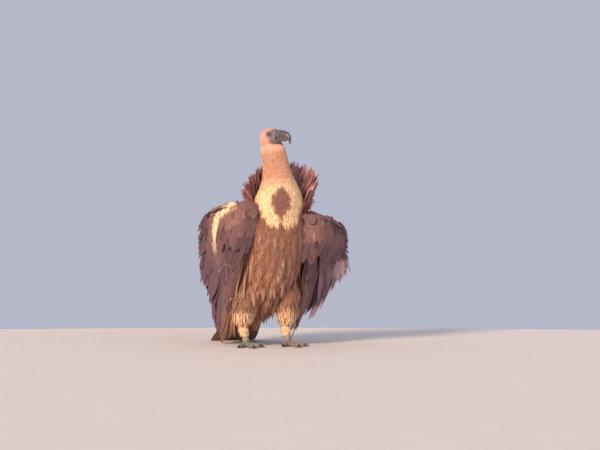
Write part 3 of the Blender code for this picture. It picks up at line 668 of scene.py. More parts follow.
def crescentPath():  # middle of the pale band along the bend of the right wing: paler coverts, brightened with painted sunlight on that lit wing only
    v = np.linspace(0.03, 0.47, crescent["spots"])
    u = np.interp(v, (0.03, 0.06, 0.13, 0.27, 0.47), (0.985, 0.91, 0.845, 0.84, 0.875))
    rows = np.array(wingRows["right"]["mantle"], float)
    # It marks the feathers that overlie the arm too.
    lifts = armHalf + np.array(crescent["lifts"])[:, None, None]
    return (sheetAt(rows, u, v) + sheetNormal(rows, u, v) * lifts).reshape(-1, 3)


crescentSpots = crescentPath()


def withCrescent(points, plume):
    flat = points.reshape(-1, 3)
    gap = np.full(len(flat), 1.0)
    near = np.linalg.norm(flat - crescentSpots.mean(0), axis=1) < crescent["reach"]
    away = np.linalg.norm(flat[near][:, None] - crescentSpots, axis=-1)
    gap[near] = away.min(1)
    share = np.zeros(len(flat))
    share[near] = 1 - 0.5 * ease(away.argmin(1) % crescent["spots"], 34, 59)  # fainter at its lower end
    share *= ease(gap + 0.0035 * noiseAt(flat, 0.008, 32), crescent["half"], crescent["core"])
    return blend(plume, tones["crescent"], share.reshape(points.shape[:-1]))


back, up = toHead(skinPoints)[:, 1:].T
headShare = ease(up + 0.9 * np.clip(-back, -1, 0.02), -0.062, -0.045)  # 1 on the head, 0 below the nape
skinPlume = blend(bodyPlume(skinPoints), facePlume(skinPoints), headShare)
addValues(skinMesh, "plume", withCrescent(skinPoints, skinPlume))


# Feathers: closed blades, each a row of small rings along a line.
sections = {  # across from -1 to 1, and height in thicknesses
    "tuft": np.array(((-1, 0), (0, 1), (1, 0)), float),
    "leaf": np.array(((-1, 0), (0, 1), (1, 0), (0, -0.7)), float),
    "vane": np.array(((-1, 0), (-0.5, 0.4), (0, 1), (0.5, 0.4), (1, 0), (0.5, -0.4), (0, -0.8), (-0.5, -0.4)),
                     float),
}
patchSize = 0.0015  # half of a feather's patch on the baking map


def blades(centre, normal, share, half, thick, section, rootUv, plume, tone, camber=0.18, roll=None):
    count, rows = centre.shape[:2]
    x, y = sections[section].T
    tangent = unit(np.gradient(centre, axis=1))
    normal = unit(normal - tangent * dot(normal, tangent))
    across = np.cross(tangent, normal)
    if roll is not None:
        c, s = np.cos(roll)[:, None, None], np.sin(roll)[:, None, None]
        normal, across = normal * c - across * s, across * c + normal * s
    if half.ndim == 2:
        half = np.stack((half, half), -1)
    reach = np.where(x < 0, half[..., 0:1], half[..., 1:2]) * x
    rise = np.asarray(thick)[..., None] * y - camber * np.abs(reach * x)
    points = centre[:, :, None] + across[:, :, None] * reach[..., None] + normal[:, :, None] * rise[..., None]
    points[..., 2] = np.maximum(points[..., 2], shift[2] + 0.0001)
    size = len(x)
    shape = (count, rows, size)
    length = np.linalg.norm(np.diff(centre, axis=1), axis=-1).sum(1)
    span = np.broadcast_to(share[..., None], shape)
    wide = np.broadcast_to(x, shape)
    uv = np.stack((
        rootUv[:, 0, None, None] + patchSize * wide + 0.0004 * y * (np.abs(x) < 0.9),
        rootUv[:, 1, None, None] + patchSize * (2 * span - 1) * 0.98,
    ), -1)
    if plume.ndim == 2:
        plume = plume[:, None]
    k = np.arange(size)
    n = (k + 1) % size
    ring = (np.arange(rows - 1) * size)[:, None]
    quads = np.stack((ring + k, ring + size + k, ring + size + n, ring + n), -1).reshape(-1, 4)
    caps = np.stack((k, (k + (rows - 1) * size)[::-1]))
    offset = (np.arange(count) * rows * size)[:, None, None]
    return {
        "points": points.reshape(-1, 3), "uv": uv.reshape(-1, 2),
        "faces": [(quads + offset).reshape(-1, 4), (caps + offset).reshape(-1, size)],
        "across": wide.ravel(), "along": span.ravel(),
        "tone": np.broadcast_to(tone[:, None, None], shape).ravel(),
        "barbs": (span * length[:, None, None] - np.abs(reach) * 0.9).ravel(),
        "plume": np.broadcast_to(plume[:, :, None], (*shape, 3)).reshape(-1, 3),
    }


pieces = []


def addPiece(mesh, material, slot, *nodes):  # nodes are the solids that the piece stands for
    mesh.materials.append(material)
    pieces.append((addObject(mesh.name, mesh), slot, nodes))


def coatPiece(name, batches, material, slot, *nodes):  # one mesh from batches of blades
    offset, faces = 0, {}
    for batch in batches:
        for group in batch["faces"]:
            faces.setdefault(group.shape[1], []).append(group + offset)
        offset += len(batch["points"])
    gathered = {k: np.concatenate([b[k] for b in batches]) for k in batches[0] if k != "faces"}
    points = gathered.pop("points")
    uv = np.clip(gathered.pop("uv"), 0.0, 1.0)
    mesh = buildMesh(name, points, [np.concatenate(group) for group in faces.values()], gathered, uv)
    mesh.set_sharp_from_angle(angle=math.radians(70))  # so that thin blades are shaded as flat
    addPiece(mesh, material, slot, *nodes)
    triangles = sum(len(g) * (k - 2) for k, gs in faces.items() for g in gs)
    print(name, triangles, "triangles")


crowd = 4.0  # random tries for each place that could fit


def scatter(surface, spacing, sRange=(0.0, 1.0), cRange=(0.0, 1.0)):  # even random places
    s, c = np.linspace(*sRange, 61), np.linspace(*cRange, 121)
    grid = surface(s[:, None] + np.zeros(121), c + np.zeros((61, 1)))
    area = np.linalg.norm(np.cross(grid[1:, :-1] - grid[:-1, :-1], grid[:-1, 1:] - grid[:-1, :-1]), axis=-1)
    wanted = int(area.sum() / spacing**2 * crowd)
    cell = rng.choice(area.size, wanted, p=(area / area.sum()).ravel())
    i, j = np.divmod(cell, 120)
    s = s[i] + (s[1] - s[0]) * rng.random(wanted)
    c = c[j] + (c[1] - c[0]) * rng.random(wanted)
    points = surface(s, c)
    cells = np.floor(points / spacing).astype(int).tolist()
    taken, kept, least = {}, [], spacing**2
    steps = (-1, 0, 1)
    around = [(a, b, d) for a in steps for b in steps for d in steps]
    for index, ((a, b, d), (x, y, z)) in enumerate(zip(cells, points.tolist())):
        near = (p for da, db, dd in around for p in taken.get((a + da, b + db, d + dd), ()))
        if all((px - x) ** 2 + (py - y) ** 2 + (pz - z) ** 2 >= least for px, py, pz in near):
            taken.setdefault((a, b, d), []).append((x, y, z))
            kept.append(index)
    return s[kept], c[kept], points[kept]


def onTop(points, within):  # which places are on the skin, not inside it
    return onSkin(points)[2] < within


def chosen(places, keep):
    return tuple(part[keep] for part in places)


def placesOn(surface, spacing, sRange=(0.0, 1.0), cRange=(0.0, 1.0), within=0.0035):
    places = scatter(surface, spacing, sRange, cRange)
    return chosen(places, onTop(places[2], within))


def trunkPlaces(spacing, rows, cRange=(0.0, 1.0), within=0.0035):  # between two rows of the spine
    return placesOn(bodySurface, spacing, (rows[0] / lastRow, rows[1] / lastRow), cRange, within)


def wayOf(surface, s, c, sign, twist):  # heading along the surface
    step = 0.004
    ahead = surface(np.clip(s + step, 0, 1), c) - surface(np.clip(s - step, 0, 1), c)
    aside = surface(s, c + step) - surface(s, c - step)
    return unit(unit(ahead) * sign + unit(aside) * np.asarray(twist)[..., None])


def layOnSkin(roots, heading, share, length, lift, sag, free):
    # Feathers follow the skin, but run straight on past an edge of it, or past the share called free.
    count, rows = len(roots), len(share)
    centre, normal = np.empty((count, rows, 3)), np.empty((count, rows, 3))
    spot, up, _ = onSkin(roots)
    way = unit(heading - up * dot(heading, up))
    before = 0.0
    for j, s in enumerate(share):
        ahead = spot + way * ((s - before) * length)[:, None]
        near, out, gap = onSkin(ahead)
        onward = unit(way - out * dot(way, out))
        stays = (dot(out, up)[:, 0] > 0.4) & (dot(onward, way)[:, 0] > 0.82) & (gap < 0.014) & (s <= free)
        stays = stays[:, None]
        spot = np.where(stays, near, ahead)
        up = np.where(stays, out, up)
        way = way + np.array((0, 0, -1.0)) * (sag * length)[:, None] * 10
        way = unit(np.where(stays, way - up * dot(way, up), way))
        up = unit(up - way * dot(up, way))
        centre[:, j] = spot + up * (lift * s**1.1 - np.minimum(0.0008, 0.3 * lift))[:, None]
        normal[:, j] = up
        before = s
    return centre, normal


whole = (0.012, 0.988)


def uvIn(s, c, strip):  # root places on the baking map, within a strip of it
    s = (s - s.min()) / max(np.ptp(s), 1e-9)
    c = (c - c.min()) / max(np.ptp(c), 1e-9)
    return np.stack((whole[0] + (whole[1] - whole[0]) * c, strip[0] + (strip[1] - strip[0]) * s), -1)


shapes = {  # half width at each station, as a share of the widest
    "down": ((0.0, 0.55, 1.0), (0.9, 0.8, 0.06)),
    "fluff": ((0.0, 0.3, 0.7, 1.0), (0.5, 1.0, 0.75, 0.06)),
    "contour": ((0.0, 0.2, 0.45, 0.7, 0.9, 1.0), (0.45, 0.85, 1.0, 0.92, 0.52, 0.07)),
    "lance": ((0.0, 0.2, 0.45, 0.7, 0.88, 1.0), (0.45, 0.9, 1.0, 0.78, 0.4, 0.04)),
}


def coverSkin(surface, places, shape, length, width, lift, plume, strip=whole, sign=1.0, sway=0.15, sag=0.0,
              section="leaf", thick=0.0005, camber=0.18, vary=0.18, free=2.0):
    s, c, roots = places
    share, profile = np.array(shapes[shape])
    count = len(s)
    twist = sway * (noiseAt(roots, 0.03, 21) + 0.6 * rng.normal(size=count))
    heading = wayOf(surface, s, c, sign, twist)
    scale = 1 + vary * rng.uniform(-1, 1, count)
    lift = lift * (0.8 + 0.4 * rng.random(count))
    centre, normal = layOnSkin(roots, heading, share, length * scale, lift, sag, free)
    half = 0.5 * (width * (1 + 0.6 * (scale - 1)))[:, None] * profile
    if callable(plume):  # the markings of the place that each tip lies on
        plume = plume(centre[:, -2])
    thickness = thick * np.linspace(1, 0.4, len(share))
    roll = rng.normal(scale=0.1, size=count)
    return blades(centre, normal, share, half, thickness, section, uvIn(s, c, strip), plume,
                  rng.random(count), camber, roll)


# Shader building blocks.
groups = {}


def addNode(tree, kind, inputs=None, **settings):
    made = tree.nodes.new(kind)
    for key, value in settings.items():
        setattr(made, key, value)
    fillIn(tree, made, inputs or {})
    return made


def fillIn(tree, node, inputs):  # each input from a socket or set to a value
    for key, value in inputs.items():
        if isinstance(value, bpy.types.NodeSocket):
            tree.links.new(value, node.inputs[key])
        else:
            node.inputs[key].default_value = value


def calc(tree, operation, a, b=0.0):
    return addNode(tree, "ShaderNodeMath", {0: a, 1: b}, operation=operation).outputs[0]


def between(tree, value, low, high, toLow=0.0, toHigh=1.0):  # smooth step on a value
    made = addNode(tree, "ShaderNodeMapRange", {"Value": value, "From Min": low, "From Max": high,
                   "To Min": toLow, "To Max": toHigh}, interpolation_type="SMOOTHSTEP")
    return made.outputs[0]


def mixColour(tree, share, a, b, kind="MIX"):
    return addNode(tree, "ShaderNodeMix", {0: share, 6: a, 7: b}, data_type="RGBA",
                   blend_type=kind).outputs[2]


def darkened(tree, share, colour, tint):
    return mixColour(tree, share, colour, mixColour(tree, 1.0, colour, tint, "MULTIPLY"))


def varying(tree, value, amount, colour):  # paler or darker, by how far the value is from a half
    level = calc(tree, "ADD", calc(tree, "MULTIPLY", calc(tree, "SUBTRACT", value, 0.5), amount), 1.0)
    return addNode(tree, "ShaderNodeHueSaturation", {"Value": level, "Color": colour}).outputs[0]


def attribute(tree, name, output="Fac"):
    return addNode(tree, "ShaderNodeAttribute", attribute_name=name).outputs[output]


def send(tree, node, **values):  # links each value to the node's input of that name
    for label, value in values.items():
        tree.links.new(value, node.inputs[label.replace("_", " ")])


def newGroup(name, inputs):
    tree = bpy.data.node_groups.new(name, "ShaderNodeTree")
    for label, kind, value in inputs:
        socket = tree.interface.new_socket(label, in_out="INPUT", socket_type="NodeSocket" + kind)
        socket.default_value = value
    for label, kind in (("Colour", "Color"), ("Height", "Float"), ("Roughness", "Float")):
        tree.interface.new_socket(label, in_out="OUTPUT", socket_type="NodeSocket" + kind)
    groups[name] = tree
    return tree, tree.nodes.new("NodeGroupInput").outputs, tree.nodes.new("NodeGroupOutput")


def makeVaneGroup():  # shaft, barbs, pale edge and shaft streak of any feather
    tree, g, found = newGroup("vane", (
        ("Colour", "Color", (0.3, 0.2, 0.15, 1)), ("Variation", "Float", 0.3), ("Streak", "Float", 0.0),
        ("Streak colour", "Color", (0.6, 0.5, 0.4, 1)), ("Streak width", "Float", 0.3),
        ("Edge", "Float", 0.3), ("Edge colour", "Color", (0.6, 0.5, 0.4, 1)), ("Edge width", "Float", 0.25),
        ("Barb size", "Float", 0.0012), ("Shade", "Float", 0.3),
    ))
    across = calc(tree, "ABSOLUTE", attribute(tree, "across"))
    run, tone, barbs = attribute(tree, "along"), attribute(tree, "tone"), attribute(tree, "barbs")
    colour = varying(tree, tone, g["Variation"], g["Colour"])
    # Barbs run out from the shaft in fine slanting ridges that clump here and there.
    place = addNode(tree, "ShaderNodeCombineXYZ", {
        "X": calc(tree, "MULTIPLY", across, 0.9), "Y": calc(tree, "DIVIDE", barbs, g["Barb size"]),
        "Z": calc(tree, "MULTIPLY", tone, 37.0)}).outputs[0]
    clumps = addNode(tree, "ShaderNodeTexNoise",
                     {"Vector": place, "Scale": 0.55, "Detail": 3.0, "Roughness": 0.6})
    clump = clumps.outputs[0]
    phase = calc(tree, "ADD", calc(tree, "DIVIDE", barbs, g["Barb size"]), calc(tree, "MULTIPLY", clump, 1.6))
    ridges = calc(tree, "SINE", calc(tree, "MULTIPLY", phase, 9.0))
    streak = calc(tree, "MULTIPLY", between(tree, across, g["Streak width"], 0.02),
                  between(tree, run, 0.05, 0.5))
    colour = mixColour(tree, calc(tree, "MULTIPLY", streak, g["Streak"]), colour, g["Streak colour"])
    rim = calc(tree, "SUBTRACT", 1.0, g["Edge width"])
    edge = calc(tree, "MAXIMUM", between(tree, across, rim, 1.0), between(tree, run, 0.9, 1.0))
    edge = calc(tree, "MULTIPLY", edge, between(tree, clump, 0.3, 0.62))
    colour = mixColour(tree, calc(tree, "MULTIPLY", edge, g["Edge"]), colour, g["Edge colour"])
    dark = calc(tree, "MULTIPLY", between(tree, clump, 0.62, 0.3), 0.28)
    # Each feather is darker towards its root, under the feathers that overlap it: painted shade, as strong as
    # Shade.
    root = calc(tree, "MULTIPLY", between(tree, run, 0.45, 0.0), g["Shade"])
    dark = calc(tree, "MAXIMUM", dark, root)
    colour = darkened(tree, dark, colour, (0.42, 0.36, 0.36, 1))
    shaft = between(tree, across, 0.1, 0.03)
    height = calc(tree, "ADD", calc(tree, "MULTIPLY", ridges, 0.14), calc(tree, "MULTIPLY", clump, 1.2))
    height = calc(tree, "ADD", height, calc(tree, "MULTIPLY", shaft, 0.8))
    send(tree, found, Colour=colour, Height=height, Roughness=between(tree, clump, 0.25, 0.75, 0.62, 0.88))


def makeGrainGroup():  # blotches and fine creases of bare skin, scales and horn
    tree, g, found = newGroup("grain", (
        ("Colour", "Color", (0.3, 0.3, 0.3, 1)), ("Blotch size", "Float", 0.012), ("Blotch", "Float", 0.3),
        ("Crease size", "Float", 0.0015), ("Dust colour", "Color", (0.5, 0.45, 0.4, 1)),
        ("Dust", "Float", 0.2), ("Stretch", "Vector", (1, 1, 1)), ("Crack", "Float", 0.35),
    ))
    place = addNode(tree, "ShaderNodeTexCoord").outputs["Object"]
    stretched = addNode(tree, "ShaderNodeVectorMath", {0: place, 1: g["Stretch"]},
                        operation="MULTIPLY").outputs[0]
    blotch = addNode(tree, "ShaderNodeTexNoise", {"Vector": stretched, "Detail": 3.0,
                     "Scale": calc(tree, "DIVIDE", 1.0, g["Blotch size"])}).outputs[0]
    crease = addNode(tree, "ShaderNodeTexVoronoi", {"Vector": stretched,
                     "Scale": calc(tree, "DIVIDE", 1.0, g["Crease size"])},
                     feature="DISTANCE_TO_EDGE").outputs[0]
    fine = addNode(tree, "ShaderNodeTexNoise", {"Vector": stretched, "Detail": 4.0,
                   "Scale": calc(tree, "DIVIDE", 2.5, g["Crease size"])}).outputs[0]
    colour = varying(tree, blotch, g["Blotch"], g["Colour"])
    dust = calc(tree, "MULTIPLY", between(tree, blotch, 0.45, 0.7), g["Dust"])
    colour = mixColour(tree, dust, colour, g["Dust colour"])
    cracks = calc(tree, "MULTIPLY", between(tree, crease, 0.1, 0.0), g["Crack"])
    colour = darkened(tree, cracks, colour, (0.4, 0.38, 0.38, 1))
    folds = calc(tree, "MULTIPLY", between(tree, crease, 0.0, 0.18), calc(tree, "MULTIPLY", g["Crack"], 2.9))
    height = calc(tree, "ADD", folds, calc(tree, "MULTIPLY", fine, 0.35))
    send(tree, found, Colour=colour, Height=height, Roughness=calc(tree, "MULTIPLY", fine, 0.3))


makeVaneGroup()
makeGrainGroup()


def newMaterial(name, **sockets):
    made = bpy.data.materials.new(name)
    made.use_nodes = True
    surface = made.node_tree.nodes["Principled BSDF"]
    for label, value in sockets.items():
        surface.inputs[label.replace("_", " ")].default_value = value
    return made, made.node_tree, surface


def colour4(name):
    return (*tones[name], 1.0)


# A material around one of the two groups.
def groupMaterial(name, kind, source, bump, distance, roughness, look, **sockets):
    made, tree, surface = newMaterial(name, **sockets)
    given = {key.replace("_", " "): colour4(value) if "colour" in key else value for key,
             value in look.items()}
    given["Colour"] = attribute(tree, "plume", "Color") if source == "plume" else colour4(source)
    group = addNode(tree, "ShaderNodeGroup", node_tree=groups[kind])
    fillIn(tree, group, given)
    rough = calc(tree, "ADD", group.outputs["Roughness"], roughness)
    raised = addNode(tree, "ShaderNodeBump", {"Height": group.outputs["Height"], "Strength": bump,
                     "Distance": distance}).outputs[0]
    send(tree, surface, Base_Color=group.outputs["Colour"], Roughness=rough, Normal=raised)
    return made


def featherMaterial(name, bump, roughness, **look):
    return groupMaterial(name, "vane", "plume", bump, 0.0006, roughness, look, Specular_IOR_Level=0.25)


def bareMaterial(name, source, bump, distance, roughness, coat, **look):
    return groupMaterial(name, "grain", source, bump, distance, roughness, look, Coat_Weight=coat,
                         Coat_Roughness=0.25)


# Shade in each feather material sets how much painted shade darkens the feathers' roots.
downMaterial = featherMaterial("pale down", 0.3, 0.08, Variation=0.22, Edge=0.25, Edge_colour="bib",
                               Barb_size=0.001, Shade=0.12)
bodyMaterial = featherMaterial("body feathers", 0.4, 0.0, Variation=0.42, Streak=0.4, Streak_colour="streak",
                               Streak_width=0.26, Edge=0.25, Edge_colour="streak", Shade=0.28)
ruffMaterial = featherMaterial("ruff feathers", 0.5, 0.0, Variation=0.45, Streak=0.45,
                               Streak_colour="ruffPale", Streak_width=0.3, Edge=0.35, Edge_colour="ruffPale",
                               Shade=0.4)
covertMaterial = featherMaterial("wing coverts", 0.5, 0.0, Variation=0.3, Streak=0.15, Streak_width=0.12,
                                 Streak_colour="greaterEdge", Edge=0.5, Edge_colour="greaterEdge",
                                 Edge_width=0.18, Shade=0.4)
quillMaterial = featherMaterial("flight feathers", 0.5, -0.12, Variation=0.22, Streak=0.5, Streak_width=0.07,
                                Streak_colour="quillEdge", Edge=0.55, Edge_colour="quillEdge",
                                Edge_width=0.16, Barb_size=0.0018, Shade=0.25)
skinMaterial = bareMaterial("bare skin", "plume", 0.6, 0.0006, 0.4, 0.0, Blotch=0.22, Blotch_size=0.006,
                            Crease_size=0.0013, Dust=0.12, Dust_colour="headDown", Crack=0.18)
skinMesh.materials.clear()
skinMesh.materials.append(skinMaterial)
flesh = [name.format(s) for s, _ in sides
         for name in ("shoulder_{}", "wing_{}_arm", "wing_{}_hand", "thigh_{}")]
pieces.append((skin, "down", ("head", "neck", "crop", "trunk", *flesh)))


# Down on the head: shortest on the face, longer over the crown and nape.
print("down")
headDown = {
    "rear": dict(spacing=0.001, reach=(0.0, 0.66), length=0.0056, width=0.0012, lift=0.0012,
                 strip=(0.012, 0.5)),
    "front": dict(spacing=0.00085, reach=(0.56, 0.97), length=0.0027, width=0.0006, lift=0.0006,
                  strip=(0.52, 0.988)),
}
neckDown = dict(spacing=0.0018, reach=(8.9, 11.95), length=0.0165, width=0.0019, lift=0.0048)
cropDown = dict(spacing=0.004, reach=(5.9, 9.2), length=0.029, width=0.0056, lift=0.0056)


lidReach = 0.0175  # how far the lids and their bare skin reach from the eye's centre


def awayFromEyes(points, degrees):
    p = toHead(points)
    clear = np.ones(len(points), bool)
    for _, sign in sides:
        centre, axis, _, _ = eyeFrame(sign)
        away = p - centre
        far = np.linalg.norm(away, axis=1)
        clear &= (far > lidReach) | (np.degrees(np.arccos(np.clip(away @ axis / far, -1, 1))) > degrees)
    return clear


def neckPlume(points):
    return blend(bodyPlume(points), facePlume(points), ease(toHead(points)[:, 2], -0.062, -0.045))


batches = []
for key, spec in headDown.items():
    places = scatter(skullSurface, spec["spacing"], spec["reach"])
    if key == "front":  # thin near the bill
        thin = 0.6 * ease(-toHead(places[2])[:, 1], 0.014, 0.026)
        places = chosen(places, rng.random(len(places[0])) > thin)
    places = chosen(places, onTop(places[2], 0.0055) & awayFromEyes(places[2], 62))
    back, up = toHead(places[2])[:, 1:].T
    low = 1 + (0.8 + 1.5 * ease(back, -0.004, 0.02)) * ease(-up, 0.004, 0.03)  # longer towards the neck
    batches.append(coverSkin(skullSurface, places, "down", spec["length"] * low, spec["width"],
                             spec["lift"] * low, facePlume, spec["strip"], -1.0, 0.25, section="tuft",
                             thick=0.0003, vary=0.35, free=0.4))
coatPiece("headDown", batches, downMaterial, "down")

places = trunkPlaces(neckDown["spacing"], neckDown["reach"], within=0.004)
fade = 1 - 0.52 * ease(places[0] * lastRow, 9.9, 11.2)
batch = coverSkin(bodySurface, places, "down", neckDown["length"] * fade, neckDown["width"],
                  neckDown["lift"] * fade, neckPlume, sway=0.22, sign=-1.0, section="tuft", vary=0.35)
coatPiece("neckDown", [batch], downMaterial, "down")

places = trunkPlaces(cropDown["spacing"], cropDown["reach"])
fade = 1 - 0.5 * ease(places[0] * lastRow, 7.8, 9.2)
batch = coverSkin(bodySurface, places, "fluff", cropDown["length"] * fade, cropDown["width"] * fade,
                  cropDown["lift"], bodyPlume, sway=0.2, sign=-1.0, thick=0.0006, vary=0.3)
coatPiece("cropDown", [batch], downMaterial, "down")


# Feathers of breast, belly and back, long and pointed in front.
print("body feathers")
trunkCoat = dict(spacing=0.0068, length=(0.044, 0.062), width=0.0145, lift=0.005)
wisps = dict(spacing=0.006, length=0.034, width=0.0017, lift=0.0085)  # loose barbs that soften the coat
hanging = dict(spacing=0.0115, length=0.098, width=0.0145, lift=0.011)  # long feathers below the belly
drooping = (  # spine rows, turns from the front, length, how early they leave the skin
    ((2.3, 4.3), (0.17, 0.31), 0.115, 0.3), ((0.8, 2.3), (0.0, 0.13), 0.12, 0.25),
    ((3.1, 4.5), (0.19, 0.29), 0.17, 0.08),
)
thighCoat = dict(spacing=0.0066, length=0.078, width=0.0135, lift=0.008)


def bodyFeathers(places, shape, length, width, lift, plume, **more):
    return coverSkin(bodySurface, places, shape, length, width, lift, plume, sign=-1.0, **more)


for name, cRange in (("bodyFeathersLeft", (0.0, 0.5)), ("bodyFeathersRight", (0.5, 1.0))):
    left = cRange[0] == 0
    long = dict(thick=0.0004, camber=0.12)
    places = trunkPlaces(trunkCoat["spacing"], (0.15, 6.1), cRange)
    t = places[0] * lastRow
    low, high = trunkCoat["length"]
    length = low + (high - low) * ease(t, 6.2, 4.0) - 0.018 * ease(t, 1.2, 0.2)
    lift = trunkCoat["lift"] * (1 - 0.5 * ease(t, 1.0, 0.2))
    batches = [bodyFeathers(places, "lance", length, trunkCoat["width"], lift, bodyPlume, sag=0.4, free=0.8,
                            **long)]
    places = trunkPlaces(wisps["spacing"], (0.15, 6.2), cRange)
    batches.append(bodyFeathers(places, "down", wisps["length"], wisps["width"], wisps["lift"], bodyPlume,
                                sway=0.35, sag=0.5, section="tuft", vary=0.35))
    places = trunkPlaces(hanging["spacing"], (0.7, 5.0), (0.0, 0.33) if left else (0.67, 1.0))
    places = chosen(places, rng.random(len(places[0])) > ease(places[0] * lastRow, 2.2, 5.0))
    fade = 1 - 0.4 * ease(places[0] * lastRow, 2.2, 4.5)
    batches.append(bodyFeathers(places, "lance", hanging["length"] * fade, hanging["width"],
                                hanging["lift"] * fade, bodyPlume, sway=0.25, sag=0.35, vary=0.3, free=0.4,
                                **long))
    for tRange, turns, length, free in drooping:
        turns = turns if left else (1 - turns[1], 1 - turns[0])
        places = trunkPlaces(0.0125, tRange, turns)
        # Towards the vent these feathers are painted paler: painted light in the shade between the thighs.
        plume = blend(bodyPlume(places[2]), tones["streak"], 0.45 * ease(places[0] * lastRow, 2.6, 1.8))
        batches.append(bodyFeathers(places, "lance", length, 0.0155, 0.012, plume, sway=0.2, sag=0.7,
                                    vary=0.25, free=free, **long))
    coatPiece(name, batches, bodyMaterial, "plumage")


def thighPlume(points):
    patchy = noiseAt(points, 0.03, 12)
    height = points[:, 2] - shift[2]
    found = blend(tones["thigh"], tones["legDown"], ease(height + 0.012 * patchy, 0.15, 0.098))
    dark = np.clip(noiseAt(points, 0.05, 14), 0, 1) * 0.5 * ease(height, 0.12, 0.16)
    return blend(found, tones["bellyDark"], dark) * (1 + 0.12 * patchy)[:, None]


for side, sign in sides:
    surface = thighSurface(sign)
    batches = []
    for shape, spec, sway, section in (("lance", thighCoat, 0.18, "leaf"), ("down", wisps, 0.35, "tuft")):
        places = placesOn(surface, spec["spacing"], (0.02, 0.99))
        fade = 1 - 0.62 * ease(places[0], 0.25, 1.0)
        batches.append(coverSkin(surface, places, shape, spec["length"] * fade,
                                 spec["width"] * (0.5 + 0.5 * fade), spec["lift"] * fade, thighPlume,
                                 sway=sway, sag=0.3, section=section, thick=0.0004, camber=0.12, vary=0.3,
                                 free=0.45))
    coatPiece(f"thighFeathers{side.title()}", batches, bodyMaterial, "plumage")


# Wings.
wingCoat = {
    "lesser": dict(spacing=0.0072, length=0.03, width=0.015, lift=0.0088),
    "lining": dict(spacing=0.009, length=0.046, width=0.015, lift=0.0045),
    # share of the sheet at root and tip, feathers, width, height over the sheet, tone
    "shingled": ((0.4, 1.03, 17, 0.04, 0.002, "greater"), (0.33, 0.89, 18, 0.036, 0.0032, "greater"),
                 (0.27, 0.76, 20, 0.031, 0.0044, "greater"), (0.22, 0.63, 23, 0.026, 0.0054, "lesser"),
                 (0.3, 0.96, 20, 0.034, 0.0025, "lining"), (0.16, 0.68, 20, 0.03, 0.005, "lining")),
    "secondaries": 24, "primaries": 12, "scapulars": 10,
    # share of the sheet at root and tip, feathers, tone
    "apron": ((0.0, 0.24, 22, "lesser"), (0.11, 0.37, 22, "lesser"), (0.23, 0.5, 21, "lesser"),
              (0.35, 0.64, 21, "lesser"), (0.48, 0.8, 20, "greater"), (0.6, 1.0, 19, "greater")),
    "cape": ((0.0, 0.34, 23, "lesser"), (0.16, 0.52, 24, "lesser"), (0.33, 0.7, 25, "lesser"),
             (0.5, 0.86, 26, "lesser"), (0.66, 1.02, 27, "lesser")),
    "palm": ((0.3, 0.62, 12, "greater"), (0.2, 0.47, 13, "greater"), (0.1, 0.34, 14, "lesser")),
    "fringe": dict(count=54, width=0.024, length=0.22, stand=0.017, outermost=dict(right=0.56, left=0.7)),
    "edge": dict(count=120, width=0.014),
}
vaneShare = np.array((0.0, 0.06, 0.14, 0.24, 0.34, 0.44, 0.54, 0.64, 0.73, 0.81, 0.88, 0.93, 0.97, 1.0))
fewShares = np.array((0, 2, 4, 6, 8, 10, 12, 13))
vaneWidth = {
    "pointed": np.array((0.25, 0.55, 0.85, 1.0, 1.0, 0.98, 0.95, 0.9, 0.8, 0.68, 0.54, 0.4, 0.24, 0.05)),
    "covert": np.array((0.35, 0.6, 0.8, 0.92, 0.98, 1.0, 1.0, 1.0, 0.97, 0.92, 0.82, 0.66, 0.42, 0.07)),
}


def shortened(rows, share):  # the sheet's rows with each tip moved back along its feather
    root, tip, bow = rows[:, :3], rows[:, 3:6], rows[:, 6:9]
    return np.concatenate((root, root + (tip - root) * share + bow * 4 * share * (1 - share), bow * share**2),
                          1)


def sheetFeathers(rows, u, v, width, height, shape, plume, tilt, stray, thick, narrow,
                  face=1.0, ragged=0.05, camber=0.1, strip=whole, few=True, mark=None):
    # u and v each hold where the roots are and where the tips are; height lifts a feather off the sheet.
    u, v = (np.stack(np.broadcast_arrays(*ends), 1) for ends in (u, v))
    pick = fewShares if few else np.arange(len(vaneShare))
    share = np.broadcast_to(vaneShare[pick], (len(u), len(pick))).copy()
    uAt = np.clip(u[:, :1] + (u[:, 1:] - u[:, :1]) * share, 0, 1)
    vAt = v[:, :1] + (v[:, 1:] - v[:, :1]) * share
    out = sheetNormal(rows, uAt, vAt) * face
    centre = sheetAt(rows, uAt, vAt) + out * height(share, uAt, vAt)[..., None]
    if stray is not None:
        centre = centre + stray[:, None] * (share**2)[..., None]
    centre[..., 2] = np.maximum(centre[..., 2], shift[2] + 0.0012)
    if mark is not None:
        plume = mark(centre, plume[:, None] * np.ones((1, len(pick), 1)))
    half = np.broadcast_to(width, len(u))[:, None] * vaneWidth[shape][pick]
    half = half * (1 + ragged * rng.normal(size=share.shape))
    sidesOf = (1 - narrow, narrow) if face > 0 else (narrow, 1 - narrow)
    half = np.stack([half * part for part in sidesOf], -1)
    return blades(centre, out, share, half, thick * (1.15 - 0.75 * share), "leaf" if few else "vane",
                  uvIn(v[:, 0] + 0.02 * u[:, 0], u[:, 0], strip), plume, rng.random(len(u)), camber,
                  np.full(len(u), tilt) + rng.normal(scale=0.05, size=len(u)))


def fanOf(count, first, last):
    return first + (last - first) * np.arange(count) / (count - 1)


def looseFan(count, first, last, jitter):
    return np.clip(fanOf(count, first, last) + jitter * rng.normal(size=count), 0, 1)


def offSheet(base, rise=0.0):  # height of a feather over the sheet, at its root and gained by its tip
    return lambda share, u, v: base + rise * share


def overFlesh(base, rise=0.0, reach=1.0, thickest=armHalf, over=0.92):  # rising towards the tips
    return lambda share, u, v: (halfThickness(u, v * reach, thickest) * over + base * (0.35 + 0.65 * share)
                                + rise * share**2)


def overEdge(share, u, v):
    return 0.001 + 0.92 * halfThickness(u, np.maximum(v, 0.0), armHalf) * share**0.5


def varied(colour, amount, count):  # the colour a little darker or lighter for each feather
    return colour * (1 + amount * rng.normal(size=count))[:, None]


